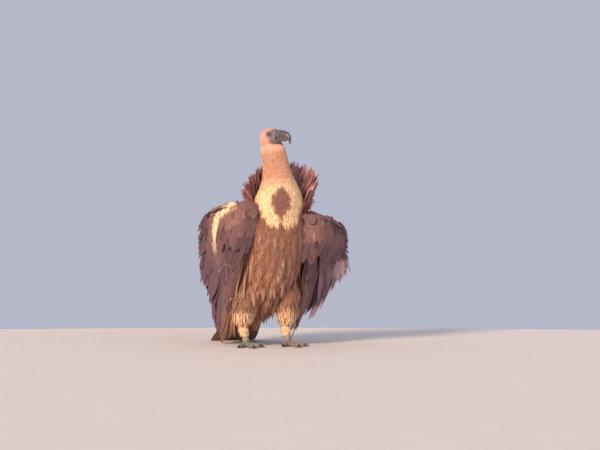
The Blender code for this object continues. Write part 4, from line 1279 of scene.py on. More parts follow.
def wingPlume(u, points, side):  # tones of the wing's outer face, purplish towards its outer rim
    purple = 0.65 * ease(u, 0.8, 0.7) if side == "right" else 0.4 + 0.3 * ease(u, 0.8, 0.65)
    found = blend(tones["lesser"], tones["quill"], purple)
    return found * (1 + 0.14 * noiseAt(points, 0.03, 31))[:, None]


def liningPlume(points, side):
    found = blend(tones["lining"], tones["breast"], 0.25 + 0.25 * noiseAt(points, 0.04, 33))
    # The right wing's lining is painted darker as painted shade, and the left's is painted paler as painted
    # light.
    return found * (0.62 if side == "right" else 1.25) * (1 + 0.1 * noiseAt(points, 0.03, 34))[:, None]


def scatteredOn(surface, spec, cRange, strip, plume, way=1.0, drop=0.0, shape="contour", sRange=(0.0, 1.0)):
    # Small feathers on the flesh.
    s, c, roots = placesOn(surface, spec["spacing"], sRange, cRange, 0.004)
    heading = unit(wayOf(surface, s, c, 0.0, 1.0) * way + np.array((0, 0, -drop)))
    share, profile = np.array(shapes[shape])
    length = spec["length"] * (1 + 0.2 * rng.uniform(-1, 1, len(s)))
    lift = spec["lift"] * (0.7 + 0.6 * rng.random(len(s)))
    centre, normal = layOnSkin(roots, heading, share, length, lift, sag=0.15 * drop, free=0.85)
    half = 0.5 * spec["width"] * (1 + 0.15 * rng.normal(size=(len(s), 1))) * profile
    colour = withCrescent(centre, plume(s, roots)[:, None] * np.ones((1, len(share), 1)))
    return blades(centre, normal, share, half, 0.0005, "leaf", uvIn(s, c, strip), colour, rng.random(len(s)),
                  0.12, rng.normal(scale=0.1, size=len(s)))


def smallCoverts(side, sign):  # over shoulder, arm and scapular pad
    spec = wingCoat["lesser"]
    shoulder, arm, pad, _ = fleshOf(side, sign)[1:]
    batches = []
    for order, (surface, low, high) in enumerate(((arm, elbow - 0.05, 0.99), (pad, 0.03, elbow + 0.05))):
        batches.append(scatteredOn(surface, spec, (0.03, 0.35 - 0.17 * order),
                                   (0.012 + 0.4 * order, 0.38 + 0.4 * order),
                                   lambda s, roots: wingPlume(low + (high - low) * s, roots, side)))
    places = placesOn(shoulder, spec["spacing"], within=0.004)
    plume = withCrescent(places[2], wingPlume(0 * places[0] + 0.85, places[2], side))
    batches.append(coverSkin(shoulder, places, "contour", spec["length"], spec["width"], spec["lift"], plume,
                             (0.82, 0.988), sway=0.3, sag=0.5, camber=0.12))
    return batches


def lining(side, sign):  # between wing and body, long loose feathers like the flanks'
    arm, palm = fleshOf(side, sign)[2], fleshOf(side, sign)[4]
    batches = []
    for surface, cRange, strip, way, drop, sRange in (
        (arm, (0.77, 0.985), (0.012, 0.34), -1.0, 0.3, (0.0, 1.0)),
        (palm, (0.68, 0.985), (0.36, 0.66), -1.0, 0.6, (0.0, 1.0)),
        (palm, (0.015, 0.24), (0.68, 0.988), 1.0, 0.6, (0.5, 1.0)),
    ):
        batches.append(scatteredOn(surface, wingCoat["lining"], cRange, strip,
                                   lambda s, roots: liningPlume(roots, side), way, drop, "lance", sRange))
    return batches


def shingledCoverts(side, sign, mantle):  # rows of coverts on both faces of the sheet
    short = shortened(mantle, 0.64)
    for order, (vRoot, vTip, count, width, base, key) in enumerate(wingCoat["shingled"]):
        face = -1.0 if key == "lining" else 1.0
        u = looseFan(count, elbow, 0.995, 0.006)
        ends = vTip * (1 + 0.05 * rng.normal(size=count)) * np.interp(u, (elbow, 0.6, 0.9, 1.0),
                                                                      (0.95, 1.0, 1.0, 0.9))
        uTip = u + 0.006 * rng.normal(size=count)
        starts = vRoot * (1 + 0.1 * rng.normal(size=count))
        plume = varied(tones[key], 0.12, count)
        if key == "lesser":
            plume = wingPlume(u, sheetAt(short, u, ends), side)
        yield sheetFeathers(short, (u, uTip), (starts, ends), width * (1 + 0.1 * rng.normal(size=count)),
                            overFlesh(base, 0.002, 0.64, over=0.8), "covert", plume, 0.07 * -sign * face,
                            None, 0.0005, 0.42, face, 0.06, 0.05, (0.012 + 0.12 * order, 0.12 + 0.12 * order),
                            mark=withCrescent)


def fringe(side, sign, mantle):  # ragged feathers that stand off the sheet's outer bend
    spec = wingCoat["fringe"]
    count = spec["count"]
    u = np.where(np.arange(count) % 3 == 0, rng.uniform(elbow, 0.74 if side == "right" else 0.88, count),
                 spec["outermost"][side] + 0.055 * rng.normal(size=count))
    start = rng.uniform(0.0, 0.72, count)
    ends = start + spec["length"] * (1 + 0.25 * rng.uniform(-1, 1, count))
    plume = blend(tones["greater"], tones["quill"], rng.random(count)) * 0.85
    if side == "left":
        plume = blend(plume, tones["quillTip"], 0.6 * ease(start, 0.4, 0.6))
    return sheetFeathers(mantle, (u, u + 0.012 * rng.normal(size=count)), (start, ends), spec["width"],
                         overFlesh(0.002, spec["stand"]), "pointed", plume, 0.2 * -sign, None, 0.0006, 0.4,
                         ragged=0.12, strip=(0.74, 0.88))


def edging(side, mantle):  # small feathers round the wing's upper edge
    spec = wingCoat["edge"]
    count = spec["count"]
    u = rng.uniform(elbow, 1.0, count)
    start = rng.uniform(-0.012, 0.01, count)
    ends = start + rng.uniform(0.05, 0.09, count)
    plume = wingPlume(u, sheetAt(mantle, u, ends), side)
    return sheetFeathers(mantle, (u, u + 0.02 * rng.normal(size=count)), (start, ends), spec["width"],
                         overEdge, "covert", plume, 0.0, None, 0.0005, 0.5, 1.0, 0.08, 0.05, (0.9, 0.988),
                         mark=withCrescent)


def rowsOver(side, sign, hand):  # from the shoulder over the front and the top of the arm, and over the hand
    apron, cape = (np.array(wingRows[side][name], float) for name in ("apron", "cape"))
    for name, over, first, width, height in (("apron", apron, 0.0, 0.023, offSheet(0.002, 0.002)),
                                             ("cape", cape, 0.0, 0.021, offSheet(0.002, 0.002)),
                                             ("palm", hand, 0.42, 0.028,
                                              overFlesh(0.002, 0.002, 1.0, 0.011, 0.85))):
        for start, end, count, key in wingCoat[name]:
            u = looseFan(count, first, 1.0, 0.02)
            starts = start + 0.02 * rng.normal(size=count)
            ends = end * (1 + 0.07 * rng.normal(size=count))
            plume = varied(tones["quill"] * 0.85 if name == "palm" else tones[key], 0.14, count)
            if name == "cape":
                plume = wingPlume(np.interp(u, (0, 0.5, 1), (1.0, 0.8, 0.6)), sheetAt(over, u, ends), side)
            yield sheetFeathers(over, (u, u + 0.04 * rng.normal(size=count)), (starts, ends),
                                width * (1 + 0.12 * rng.normal(size=count)), height, "covert", plume,
                                0.1 * -sign, None, 0.0006, 0.44, 1.0, 0.08, 0.08, (0.7, 0.74),
                                mark=withCrescent)


def scapulars(sign, mantle):  # shingled rows from the spine to the elbow, then one row of long ones
    for order, start in enumerate((0.0, 0.07, 0.15, 0.24, 0.33, 0.43, 0.54, 0.66)):
        count = wingCoat["scapulars"] + order % 2
        u = looseFan(count, 0.005, elbow + 0.03, 0.008)
        ends = start + np.interp(order, (0, 5, 7), (0.24, 0.34, 0.33)) * (1 + 0.08 * rng.normal(size=count))
        plume = varied(tones["scapular"], 0.12, count)
        yield sheetFeathers(mantle, (u, u), (start, ends), 0.034, overFlesh(0.0045, -0.001), "covert", plume,
                            0.1 * -sign, None, 0.0007, 0.46,
                            strip=(0.012 + 0.105 * order, 0.1 + 0.105 * order))
    count = 15
    u = fanOf(count, 0.004, elbow + 0.02)
    ends = 1.0 + 0.035 * np.sin(3.7 * np.arange(count)) - 0.08 * (np.arange(count) % 2)
    plume = varied(tones["scapular"] * 0.9, 0.1, count)
    yield sheetFeathers(mantle, (u, u), (0.3, ends), 0.042, offSheet(0.0008), "covert", plume, 0.08 * -sign,
                        None, 0.001, 0.42, strip=(0.87, 0.988), few=False)


def secondaries(side, sign, mantle):
    count = wingCoat["secondaries"]
    k = np.arange(count)
    u = elbow + 0.008 + (0.99 - elbow) * (k + 0.5) / count
    ends = np.where(k % 2 == 1, 1.0 + 0.035 * np.sin(3.7 * k), 0.955) + 0.012 * rng.normal(size=count)
    if side == "left":
        ends += 0.14 * ease(u, 0.82, 0.92)
    stray = np.zeros((count, 3))
    for index, move in wingRows[side]["stray"].items():
        stray[2 * index + 1] = move
        stray[2 * index] = np.array(move) * 0.4
    pale = 1.0 if side == "left" else 0.0
    plume = varied(tones["quill"], 0.12, count)
    paler = 0.9 * ease(vaneShare, 0.78, 0.97)[None] * pale * ease(u, 0.5, 0.62)[:, None]
    plume = blend(np.repeat(plume[:, None], len(vaneShare), 1), tones["quillTip"], paler)
    yield sheetFeathers(mantle, (u, u), (0.22, ends), 0.041, offSheet(0.0004, -0.0004), "pointed", plume,
                        0.1 * -sign, stray, 0.0013, 0.3, ragged=0.07, strip=(0.012, 0.4), few=False)
    # A second, looser set a little shorter and standing off the first, so that the edge is ragged.
    u = u + 0.5 * (u[1] - u[0]) * rng.uniform(0.6, 1.4, count)
    ends = 0.9 + 0.06 * np.sin(2.9 * k) + 0.02 * rng.normal(size=count)
    plume = varied(tones["quill"] * 1.15, 0.14, count)
    plume = blend(plume, tones["quillTip"], ease(u, 0.5, 0.62) * ease(u, 0.95, 0.8) * 0.5 * pale)
    yield sheetFeathers(mantle, (u, u + 0.01 * rng.normal(size=count)), (0.45, ends), 0.03,
                        overFlesh(0.001, 0.012, 1.0, 0.0), "pointed", plume, 0.16 * -sign, stray, 0.001, 0.34,
                        ragged=0.1, strip=(0.42, 0.6))


def primaries(side, sign, mantle, hand):  # on the hand sheet under the mantle, with the tertials between
    count = wingCoat["primaries"]
    k = np.arange(count)
    u = 0.02 + 0.95 * (k + 0.5) / count
    ends = 1.0 + 0.03 * np.sin(3.7 * (2 * k + 1)) - 0.02
    plume = varied(blend(tones["quill"] * 0.85, tones["quillWarm"], ease(u, 0.7, 0.95)), 0.1, count)
    yield sheetFeathers(hand, (u, u), (0.12, ends), 0.04, offSheet(0.0, 0.0003), "pointed", plume,
                        0.1 * -sign, None, 0.0015, 0.32, ragged=0.06, strip=(0.62, 0.8), few=False)
    count = 14
    u = rng.uniform(0.02, 0.98, count)
    ends = rng.uniform(0.62, 0.92, count)
    plume = blend(tones["quill"], tones["quillWarm"], ease(u, 0.4, 1.0) * rng.uniform(0.3, 1.0, count))
    yield sheetFeathers(hand, (u, u), (0.2, ends), 0.034, overFlesh(0.002, 0.004, 1.0, 0.011), "pointed",
                        plume, 0.14 * -sign, None, 0.001, 0.4, ragged=0.1, strip=(0.82, 0.988))
    count = 7
    u = fanOf(count, 0.86, 1.0)
    ends = rng.uniform(0.86, 1.0, count)
    stray = np.linspace(0.3, 1.1, count)[:, None] * np.array((-0.02 * sign, -0.05, 0.026))
    if side == "left":
        stray = stray * 1.2
    # These feathers are painted a third paler than the belly's tone: painted light where the wing shades
    # them.
    plume = blend(tones["belly"], tones["streak"], 0.3) * (1.35 + 0.12 * rng.normal(size=count))[:, None]
    yield sheetFeathers(hand, (u, u), (0.25, ends), 0.036, offSheet(-0.002, -0.003), "covert", plume,
                        0.1 * -sign, stray, 0.0009, 0.45, ragged=0.08, strip=(0.82, 0.988))
    if side == "left":  # tertials that close the gap between the folded hand and the arm
        count = 8
        u = fanOf(count, 0.93, 1.0)
        ends = rng.uniform(0.92, 1.1, count)
        stray = np.linspace(0.1, 1.0, count)[:, None] * np.array((-0.07, -0.02, -0.012))
        plume = varied(tones["quill"], 0.12, count)
        yield sheetFeathers(mantle, (u, u), (0.36, ends), 0.036, offSheet(0.0, -0.003), "pointed", plume,
                            0.1 * -sign, stray, 0.001, 0.45, ragged=0.08, strip=(0.82, 0.988))


print("wings")
for side, sign in sides:
    mantle, hand = (np.array(wingRows[side][name], float) for name in ("mantle", "hand"))
    title, prefix = side.title(), f"wing_{side}_"
    coatPiece(f"lesserCoverts{title}", smallCoverts(side, sign), covertMaterial, "plumage")
    coatPiece(f"wingLining{title}", lining(side, sign), bodyMaterial, "plumage")
    batches = [*shingledCoverts(side, sign, mantle), fringe(side, sign, mantle), edging(side, mantle),
               *rowsOver(side, sign, hand)]
    coatPiece(f"greatCoverts{title}", batches, covertMaterial, "plumage", prefix + "coverts")
    coatPiece(f"scapularFeathers{title}", [*scapulars(sign, mantle)], covertMaterial, "plumage",
              prefix + "scapulars")
    batches = [*secondaries(side, sign, mantle), *primaries(side, sign, mantle, hand)]
    coatPiece(f"flightFeathers{title}", batches, quillMaterial, "quills", prefix + "secondaries",
              prefix + "primaries")


# The middle of the back, between the scapulars, and the rump.
backRows = np.array((  # root, tip and bow, from the right to the left
    (-0.07, -0.002, 0.544, -0.064, 0.19, 0.292, -0.002, 0.038, 0.01),
    (0.0, -0.01, 0.56, 0.0, 0.196, 0.262, 0.0, 0.042, 0.014),
    (0.07, -0.002, 0.542, 0.068, 0.19, 0.288, 0.002, 0.038, 0.01),
))
batches = []
for order, start in enumerate(np.linspace(0.0, 0.72, 8)):
    count = 9 + order % 2
    u = looseFan(count, 0.02, 0.98, 0.02)
    ends = start + np.interp(order, (0, 7), (0.22, 0.34)) * (1 + 0.1 * rng.normal(size=count))
    plume = varied(tones["scapular"], 0.13, count)
    batches.append(sheetFeathers(backRows, (u, u), (start, ends), 0.03, offSheet(0.001, 0.004), "covert",
                                 plume, 0.0, None, 0.0007, 0.5,
                                 strip=(0.012 + 0.07 * order, 0.08 + 0.07 * order)))
places = trunkPlaces(0.015, (1.2, 3.6), (0.36, 0.64))
plume = varied(tones["scapular"], 0.13, len(places[0]))
batches.append(bodyFeathers(places, "contour", 0.068, 0.03, 0.0065, plume, strip=(0.62, 0.988), sway=0.1,
                            sag=0.3, thick=0.0006, camber=0.12, vary=0.2, free=0.8))
coatPiece("backFeathers", batches, covertMaterial, "plumage")


# Ruff: layers of long pointed feathers round the neck's base, gathered into spikes.
print("ruff")
ruffCoat = {
    "spikes": 17, "width": 0.015,
    # share of the full length, how far out of the collar's middle, feathers
    "layers": ((1.0, 0.0, 210), (0.96, 0.006, 170), (0.94, -0.006, 150), (0.8, 0.009, 130),
               (0.76, -0.01, 110), (0.64, 0.013, 120), (0.6, -0.013, 90), (0.46, 0.016, 110),
               (0.4, -0.014, 80), (0.3, 0.017, 80)),
}
ruffShare = np.array((0.0, 0.14, 0.32, 0.52, 0.72, 0.88, 1.0))
ruffWidth = np.array((0.45, 0.8, 1.0, 0.98, 0.86, 0.58, 0.1))
batches = []
for order, (reach, offset, count) in enumerate(ruffCoat["layers"]):
    place = (np.arange(count) + rng.uniform(0.1, 0.9, count)) / count
    # Thinner at its two ends.
    place = place[rng.random(count) < ease(np.minimum(place, 1 - place), -0.03, 0.09)]
    count = len(place)
    spike = (np.floor(place * ruffCoat["spikes"]) + 0.5) / ruffCoat["spikes"]
    tipPlace = place + (spike - place) * rng.uniform(0.0, 0.55, count)
    t = place[:, None] + (tipPlace - place)[:, None] * ruffShare
    row = along(ruffRows, t * (len(ruffRows) - 1))
    long = reach * (0.92 + 0.06 * hump(place, spike, 0.016) + 0.035 * rng.normal(size=count))
    run = ruffShare * long[:, None]
    radius = row[..., 1] + (row[..., 3] - row[..., 1]) * 0.94 * np.clip(run, 0, None) ** 1.15
    height = row[..., 2] + (row[..., 4] - row[..., 2]) * run
    angle = np.radians(row[..., 0]) + rng.normal(scale=0.05, size=(count, 1)) * ruffShare
    away = np.stack((np.sin(angle), -np.cos(angle), 0 * angle), -1)
    curl = rng.uniform(0.0, 0.012, (count, 1)) * ruffShare**3  # tips that droop outwards
    radius = radius + offset * (1 - 0.4 * run) + rng.normal(scale=0.005, size=(count, 1)) * ruffShare + curl
    height = height - 1.2 * curl
    centre = away * radius[..., None] + np.stack((0 * height, 0 * height, height), -1)
    centre += np.array((*ruffCentre, 0.0)) + shift
    plume = varied(blend(tones["ruff"], tones["breast"], rng.random(count) * 0.6), 0.16, count)
    plume *= (1 + 0.35 * ease(place, 0.62, 0.8))[:, None]  # paler on its right side: painted light where the neck's shadow falls
    plume = plume[:, None] * np.linspace(0.72, 1.1, len(ruffShare))[None, :, None]
    slim = 0.4 + 0.6 * ease(np.minimum(place, 1 - place), 0.0, 0.12)  # slimmer at the collar's ends
    half = 0.5 * ruffCoat["width"] * (slim * (1 + 0.2 * rng.normal(size=count)))[:, None] * ruffWidth
    low, high = order / len(ruffCoat["layers"]), (order + 1) / len(ruffCoat["layers"])
    strip = (0.012 + 0.97 * low, 0.97 * high)
    batches.append(blades(centre, away if offset >= 0 else -away, ruffShare, half,
                          0.0006 * np.linspace(1.2, 0.5, len(ruffShare)), "leaf",
                          uvIn(rng.random(count), place, strip), plume, rng.random(count), 0.12,
                          rng.normal(scale=0.3, size=count)))
    if order % 3 == 0:
        continue
    # Loose thin barbs between the feathers.
    many = rng.integers(0, count, count)
    loose = centre[many] + rng.normal(scale=0.004, size=(count, 1, 3)) * ruffShare[None, :, None]
    batches.append(blades(loose, away[many], ruffShare, half[many] * 0.16, 0.0004, "tuft",
                          uvIn(rng.random(count), place, strip), plume[many] * 1.25, rng.random(count), 0.0))
coatPiece("ruffFeathers", batches, ruffMaterial, "plumage", "ruff")


# Tail: twelve feathers, the middle pair on top, with coverts above and below.
print("tail")
tailCoat = {
    "feathers": 12, "width": 0.044,
    # feathers, face, share of the tail that the first row covers, place on the baking map, tone
    "coverts": ((26, 1.0, 0.32, (0.34, 0.64), "back"), (22, -1.0, 0.3, (0.68, 0.988), "vent")),
}


def tailAt(across, share):  # the tail's middle line there, and how thick it is
    y, z, width, half = np.moveaxis(along(tailRows, 5 * share), -1, 0)
    return np.stack((width * across, y, z - 0.016 * across**2 * (1 - share)), -1) + shift, half


def tailRow(across, first, last, width, rise, shape, plume, face, strip, tilt):
    share = np.broadcast_to(vaneShare, (len(across), len(vaneShare))).copy()
    run = first + (last[:, None] - first) * share
    centre, half = tailAt(across[:, None] + 0 * run, run)
    up = unit(np.stack((0 * run, 0.45 * (1 - run), 1 + 0 * run), -1)) * face
    lift = half * rise[0] + rise[1] * (1 - np.abs(across[:, None])) * ease(run, 1.0, 0.7)
    centre = centre + up * lift[..., None]
    centre[..., 2] = np.maximum(centre[..., 2], shift[2] + 0.0009)
    profile = width * vaneWidth[shape] * (1 + 0.05 * rng.normal(size=share.shape))
    lean = tilt * np.sign(across) * face
    flat = ease(run.max(1), 0.8, 0.95)
    return blades(centre, up, share, profile * 0.5, 0.0011 * (1.1 - 0.6 * share), "vane",
                  uvIn(last + 0.01 * across, across, strip), plume, rng.random(len(across)), 0.03,
                  lean * (1 - 0.85 * flat))


count = tailCoat["feathers"]
across = -1 + (2 * np.arange(count) + 1) / count
across = across[np.argsort(-np.abs(across))]
last = 0.985 - 0.09 * np.abs(across) ** 1.5 + 0.016 * rng.normal(size=count)
batches = [tailRow(across, 0.1, last, tailCoat["width"], (0.0, 0.003), "pointed",
                   varied(tones["tail"], 0.16, count), 1.0, (0.012, 0.3), 0.1)]
for count, face, low, strip, key in tailCoat["coverts"]:
    across = np.tile(np.linspace(-0.92, 0.92, count // 2), 2)
    last = np.repeat((low, low + 0.2), count // 2) * (1 + 0.06 * rng.normal(size=len(across)))
    batches.append(tailRow(across, 0.0, last, 0.026, (0.75, 0.0), "covert",
                           varied(tones[key], 0.1, len(across)), face, strip, 0.2))
coatPiece("tailFeathers", batches, quillMaterial, "quills", "tail")


# Eyes: a ball with its iris and pupil facing out, under a clear front.
print("head")
eyeLook = {"pupil": 0.0036, "iris": 0.0062, "bulge": 0.0007}
eyeMaterial, tree, surface = newMaterial("eye", Roughness=0.12, Coat_Weight=1.0, Coat_Roughness=0.03)
away = attribute(tree, "fromAxis")
place = addNode(tree, "ShaderNodeCombineXYZ", {"X": calc(tree, "MULTIPLY", attribute(tree, "round"), 60.0),
                "Y": calc(tree, "MULTIPLY", away, 300.0)}).outputs[0]
spokes = addNode(tree, "ShaderNodeTexNoise", {"Vector": place, "Scale": 1.0, "Detail": 2.0}).outputs[0]
iris = mixColour(tree, spokes, (0.035, 0.014, 0.007, 1), (0.12, 0.05, 0.02, 1))
rim = between(tree, away, eyeLook["iris"] - 0.0012, eyeLook["iris"])
pupil = between(tree, away, eyeLook["pupil"], eyeLook["pupil"] - 0.0005)
iris = mixColour(tree, rim, iris, (0.01, 0.006, 0.005, 1))
send(tree, surface, Base_Color=mixColour(tree, pupil, iris, (0.002, 0.002, 0.002, 1)))

for side, sign in sides:
    centre, axis, forward, up = eyeFrame(sign)
    turn, phi = ringGrid(0.02, math.pi - 0.02, 40, 48)
    radius = eyeRadius - 0.0006 + eyeLook["bulge"] * hump(turn, 0, 0.62)
    flat = forward * np.cos(phi)[..., None] + up * np.sin(phi)[..., None]
    ball = centre + radius[..., None] * (axis * np.cos(turn)[..., None] + flat * np.sin(turn)[..., None])
    fromAxis = np.sin(turn) * eyeRadius * np.where(turn < 1.57, 1, 9)  # far off on the ball's back half
    mesh = loft(f"eye{side.title()}", fromHead(ball),
                {"fromAxis": fromAxis.ravel(), "round": (phi / math.tau).ravel()})
    addPiece(mesh, eyeMaterial, "eye", f"eye_{side}")


# Bill and cere.
bill = {  # a square of 2 is round, more is boxier
    "square": 2.9, "nostrilAt": (0.0395, 0.01), "nostrilHalf": (0.0016, 0.0042), "nostrilDepth": 0.0034,
    "nostrilSlant": 0.35,
}


def billRings(rows, first, last, count, columns, grow=0.0):
    rows = np.array(rows, float)
    t, angle = ringGrid(first, last, count, columns)
    forward, up, width, depth = np.moveaxis(along(rows, t), -1, 0)
    end = len(rows) - 1
    ahead, behind = along(rows, np.minimum(t + 0.1, end)), along(rows, np.maximum(t - 0.1, 0))
    line = unit(np.stack((0 * t, behind[..., 0] - ahead[..., 0], ahead[..., 1] - behind[..., 1]), -1))
    line = np.where((t < 1e-6)[..., None], np.array((0, -1.0, 0)), line)
    high = np.cross(line, leftward)
    s, c = np.sin(angle), np.cos(angle)
    across = np.sign(s) * np.abs(s) ** (2 / bill["square"])
    rise = np.where(c < 0, -np.abs(c) ** (2 / bill["square"]), c)
    centre = np.stack((0 * t, -forward, up), -1)
    centre = centre + leftward * ((width + grow) * across)[..., None]
    return centre + high * ((depth + grow) * rise)[..., None]


rings = billRings(upperBill, cereEnd + 0.005, len(upperBill) - 1, 90, 56)
forward, aside = -rings[..., 1], np.abs(rings[..., 0])
# The cutting edge dips once behind the hook, and the ridge narrows towards it.
above = rings[..., 2] - np.interp(forward, (0.04, 0.07, 0.09), (0.006, 0.002, -0.01))
rings[..., 2] -= 0.0011 * ease(-above, 0.004, 0.012) * hump(forward, 0.0655, 0.006) * (aside > 0.002)
rings[..., 0] *= 1 - 0.1 * ease(above, 0.002, 0.01)
upperMesh = loft("billUpper", fromHead(rings))
rings = billRings(lowerBill, 0.0, len(lowerBill) - 1, 60, 44)
under = np.interp(-rings[..., 1], (0.0264, 0.04, 0.056, 0.07, 0.0775),
                  (-0.009, -0.0082, -0.0086, -0.0103, -0.015))
rings[..., 2] = np.minimum(rings[..., 2] + 0.0012, under + 0.0012)
lowerMesh = loft("billLower", fromHead(rings))
rings = billRings(upperBill, 0.0, cereEnd, 84, 120, grow=0.0003)
forward, up, aside = -rings[..., 1], rings[..., 2], np.abs(rings[..., 0])
df, du = forward - bill["nostrilAt"][0], up - bill["nostrilAt"][1]
cosine, sine = math.cos(bill["nostrilSlant"]), math.sin(bill["nostrilSlant"])
halfAcross, halfAlong = bill["nostrilHalf"]
hole = np.hypot((df * cosine + du * sine) / halfAcross, (du * cosine - df * sine) / halfAlong)
pit = ease(hole, 1.15, 0.7) * (aside > 0.006)
rim = hump(hole, 1.45, 0.35) * (aside > 0.006)
rings[..., 0] -= np.sign(rings[..., 0]) * (pit * bill["nostrilDepth"] - rim * 0.0004)
rings[..., 0] *= 1 + 0.0375 * hump(forward, 0.03, 0.004)  # a slight swelling where it meets the skull
cereMesh = loft("cereSkin", fromHead(rings))

hornMaterial = bareMaterial("horn", "horn", 0.35, 0.0004, 0.22, 0.25, Blotch=0.5, Blotch_size=0.014,
                            Crease_size=0.003, Dust=0.45, Dust_colour="hornPale", Stretch=(1, 1, 3.0),
                            Crack=0.0)
cereMaterial = bareMaterial("cere", "cere", 0.5, 0.0005, 0.36, 0.0, Blotch=0.3, Blotch_size=0.006,
                            Crease_size=0.0012, Dust=0.3, Dust_colour="faceSkin", Crack=0.2)


addPiece(upperMesh, hornMaterial, "horn", "bill_upper")
addPiece(lowerMesh, hornMaterial, "horn", "bill_lower")
addPiece(cereMesh, cereMaterial, "cere", "cere")


# Legs: one scaly skin over shank, foot and toes, and a smooth horn claw on each toe.
print("legs")
scaleMaterial = bareMaterial("scaly skin", "scale", 0.9, 0.001, 0.42, 0.0, Blotch=0.35, Blotch_size=0.01,
                             Crease_size=0.0032, Dust=0.4, Dust_colour="scaleDust")
scuteMaterial = bareMaterial("scutes", "scale", 0.35, 0.0004, 0.38, 0.0, Blotch=0.35, Blotch_size=0.008,
                             Crease_size=0.0016, Dust=0.35, Dust_colour="scaleDust", Crack=0.08)
clawMaterial = bareMaterial("claw horn", "claw", 0.3, 0.0003, 0.2, 0.3, Blotch=0.4, Blotch_size=0.006,
                            Crease_size=0.003, Dust=0.25, Dust_colour="horn", Stretch=(1, 1, 2))


def toeRings(start, ahead, length, root, tip):
    t, a = ringGrid(0, 1, 36, 20)
    side = np.cross((0, 0, 1.0), ahead)
    radius = root + (tip - root) * t
    knuckle = 1 + 0.1 * np.sin(3 * math.pi * t) ** 2
    point = start + ahead * (length * t)[..., None] + side * (radius * knuckle * np.sin(a))[..., None]
    point[..., 2] = start[2] + np.maximum(radius * 0.86 + radius * np.cos(a) * (1 + 0.5 * (knuckle - 1)),
                                          0.0006)
    return point


def clawRings(start, ahead, radius, length):
    t, a = ringGrid(0, 1, 22, 16)
    side = np.cross((0, 0, 1.0), ahead)
    bend = 0.9 * t
    reach, thin = length * np.sin(bend) / 0.9, radius * (0.82 - 0.66 * t)
    height = radius * (0.95 - 0.15 * t) - 0.35 * radius * t**2
    line = ahead * np.cos(bend * 0.6)[..., None] - np.array((0, 0, 1.0)) * np.sin(bend * 0.6)[..., None]
    high = np.cross(line, side)
    point = start + ahead * reach[..., None] + side * (thin * 0.8 * np.sin(a))[..., None]
    point += high * (thin * np.cos(a))[..., None]
    point[..., 2] += height
    point[..., 2] = np.maximum(point[..., 2], start[2] + 0.0005)
    return point


# Geometry Nodes: a small domed plate set on each point, turned to the point's normal and heading.
def makePlateTree():
    tree = bpy.data.node_groups.new("plates", "GeometryNodeTree")
    tree.interface.new_socket("Geometry", in_out="INPUT", socket_type="NodeSocketGeometry")
    for label, value in (("Width", 0.9), ("Height", 0.28)):
        tree.interface.new_socket(label, in_out="INPUT", socket_type="NodeSocketFloat").default_value = value
    tree.interface.new_socket("Seed", in_out="INPUT", socket_type="NodeSocketInt").default_value = 3
    tree.interface.new_socket("Material", in_out="INPUT", socket_type="NodeSocketMaterial")
    tree.interface.new_socket("Geometry", in_out="OUTPUT", socket_type="NodeSocketGeometry")
    given, found = tree.nodes.new("NodeGroupInput"), tree.nodes.new("NodeGroupOutput")

    def named(name, kind):
        made = addNode(tree, "GeometryNodeInputNamedAttribute", {"Name": name}, data_type=kind)
        return made.outputs["Attribute"]
    plate = addNode(tree, "GeometryNodeMeshIcoSphere", {"Radius": 0.5, "Subdivisions": 2}).outputs["Mesh"]
    shape = addNode(tree, "ShaderNodeCombineXYZ",
                    {"X": given.outputs["Width"], "Y": 1.0, "Z": given.outputs["Height"]})
    plate = addNode(tree, "GeometryNodeTransform", {"Geometry": plate, "Scale": shape.outputs[0]}).outputs[0]
    upright = addNode(tree, "FunctionNodeAlignEulerToVector", {"Vector": named("out", "FLOAT_VECTOR")},
                      axis="Z")
    turned = addNode(tree, "FunctionNodeAlignEulerToVector", {"Rotation": upright.outputs[0],
                     "Vector": named("heading", "FLOAT_VECTOR")}, axis="Y", pivot_axis="Z")
    vary = addNode(tree, "FunctionNodeRandomValue", {"Seed": given.outputs["Seed"]}, data_type="FLOAT")
    vary.inputs[2].default_value, vary.inputs[3].default_value = 0.88, 1.12
    size = calc(tree, "MULTIPLY", named("size", "FLOAT"), vary.outputs[1])
    points = addNode(tree, "GeometryNodeMeshToPoints", {"Mesh": given.outputs["Geometry"]}).outputs[0]
    placed = addNode(tree, "GeometryNodeInstanceOnPoints", {"Points": points, "Instance": plate,
                     "Rotation": turned.outputs[0], "Scale": size}).outputs[0]
    real = addNode(tree, "GeometryNodeRealizeInstances", {"Geometry": placed}).outputs[0]
    smooth = addNode(tree, "GeometryNodeSetShadeSmooth", {"Geometry": real}).outputs[0]
    painted = addNode(tree, "GeometryNodeSetMaterial",
                      {"Geometry": smooth, "Material": given.outputs["Material"]})
    tree.links.new(painted.outputs[0], found.inputs["Geometry"])
    return tree


plateTree = makePlateTree()


def grown(name, points, out, heading, size, material, **values):  # one plain mesh of plates
    mesh = bpy.data.meshes.new(name)
    mesh.from_pydata(points.tolist(), [], [])
    for key, data in (("out", out), ("heading", heading)):
        values32 = data.astype(np.float32).ravel()
        mesh.attributes.new(key, "FLOAT_VECTOR", "POINT").data.foreach_set("vector", values32)
    mesh.attributes.new("size", "FLOAT", "POINT").data.foreach_set("value", size.astype(np.float32))
    made = addObject(name, mesh)
    grow = made.modifiers.new("grow", "NODES")
    grow.node_group = plateTree
    values["Material"] = material
    for item in plateTree.interface.items_tree:
        if item.in_out == "INPUT" and item.name in values:
            grow[item.identifier] = values[item.name]
    return addObject(name, evaluated(made, name))


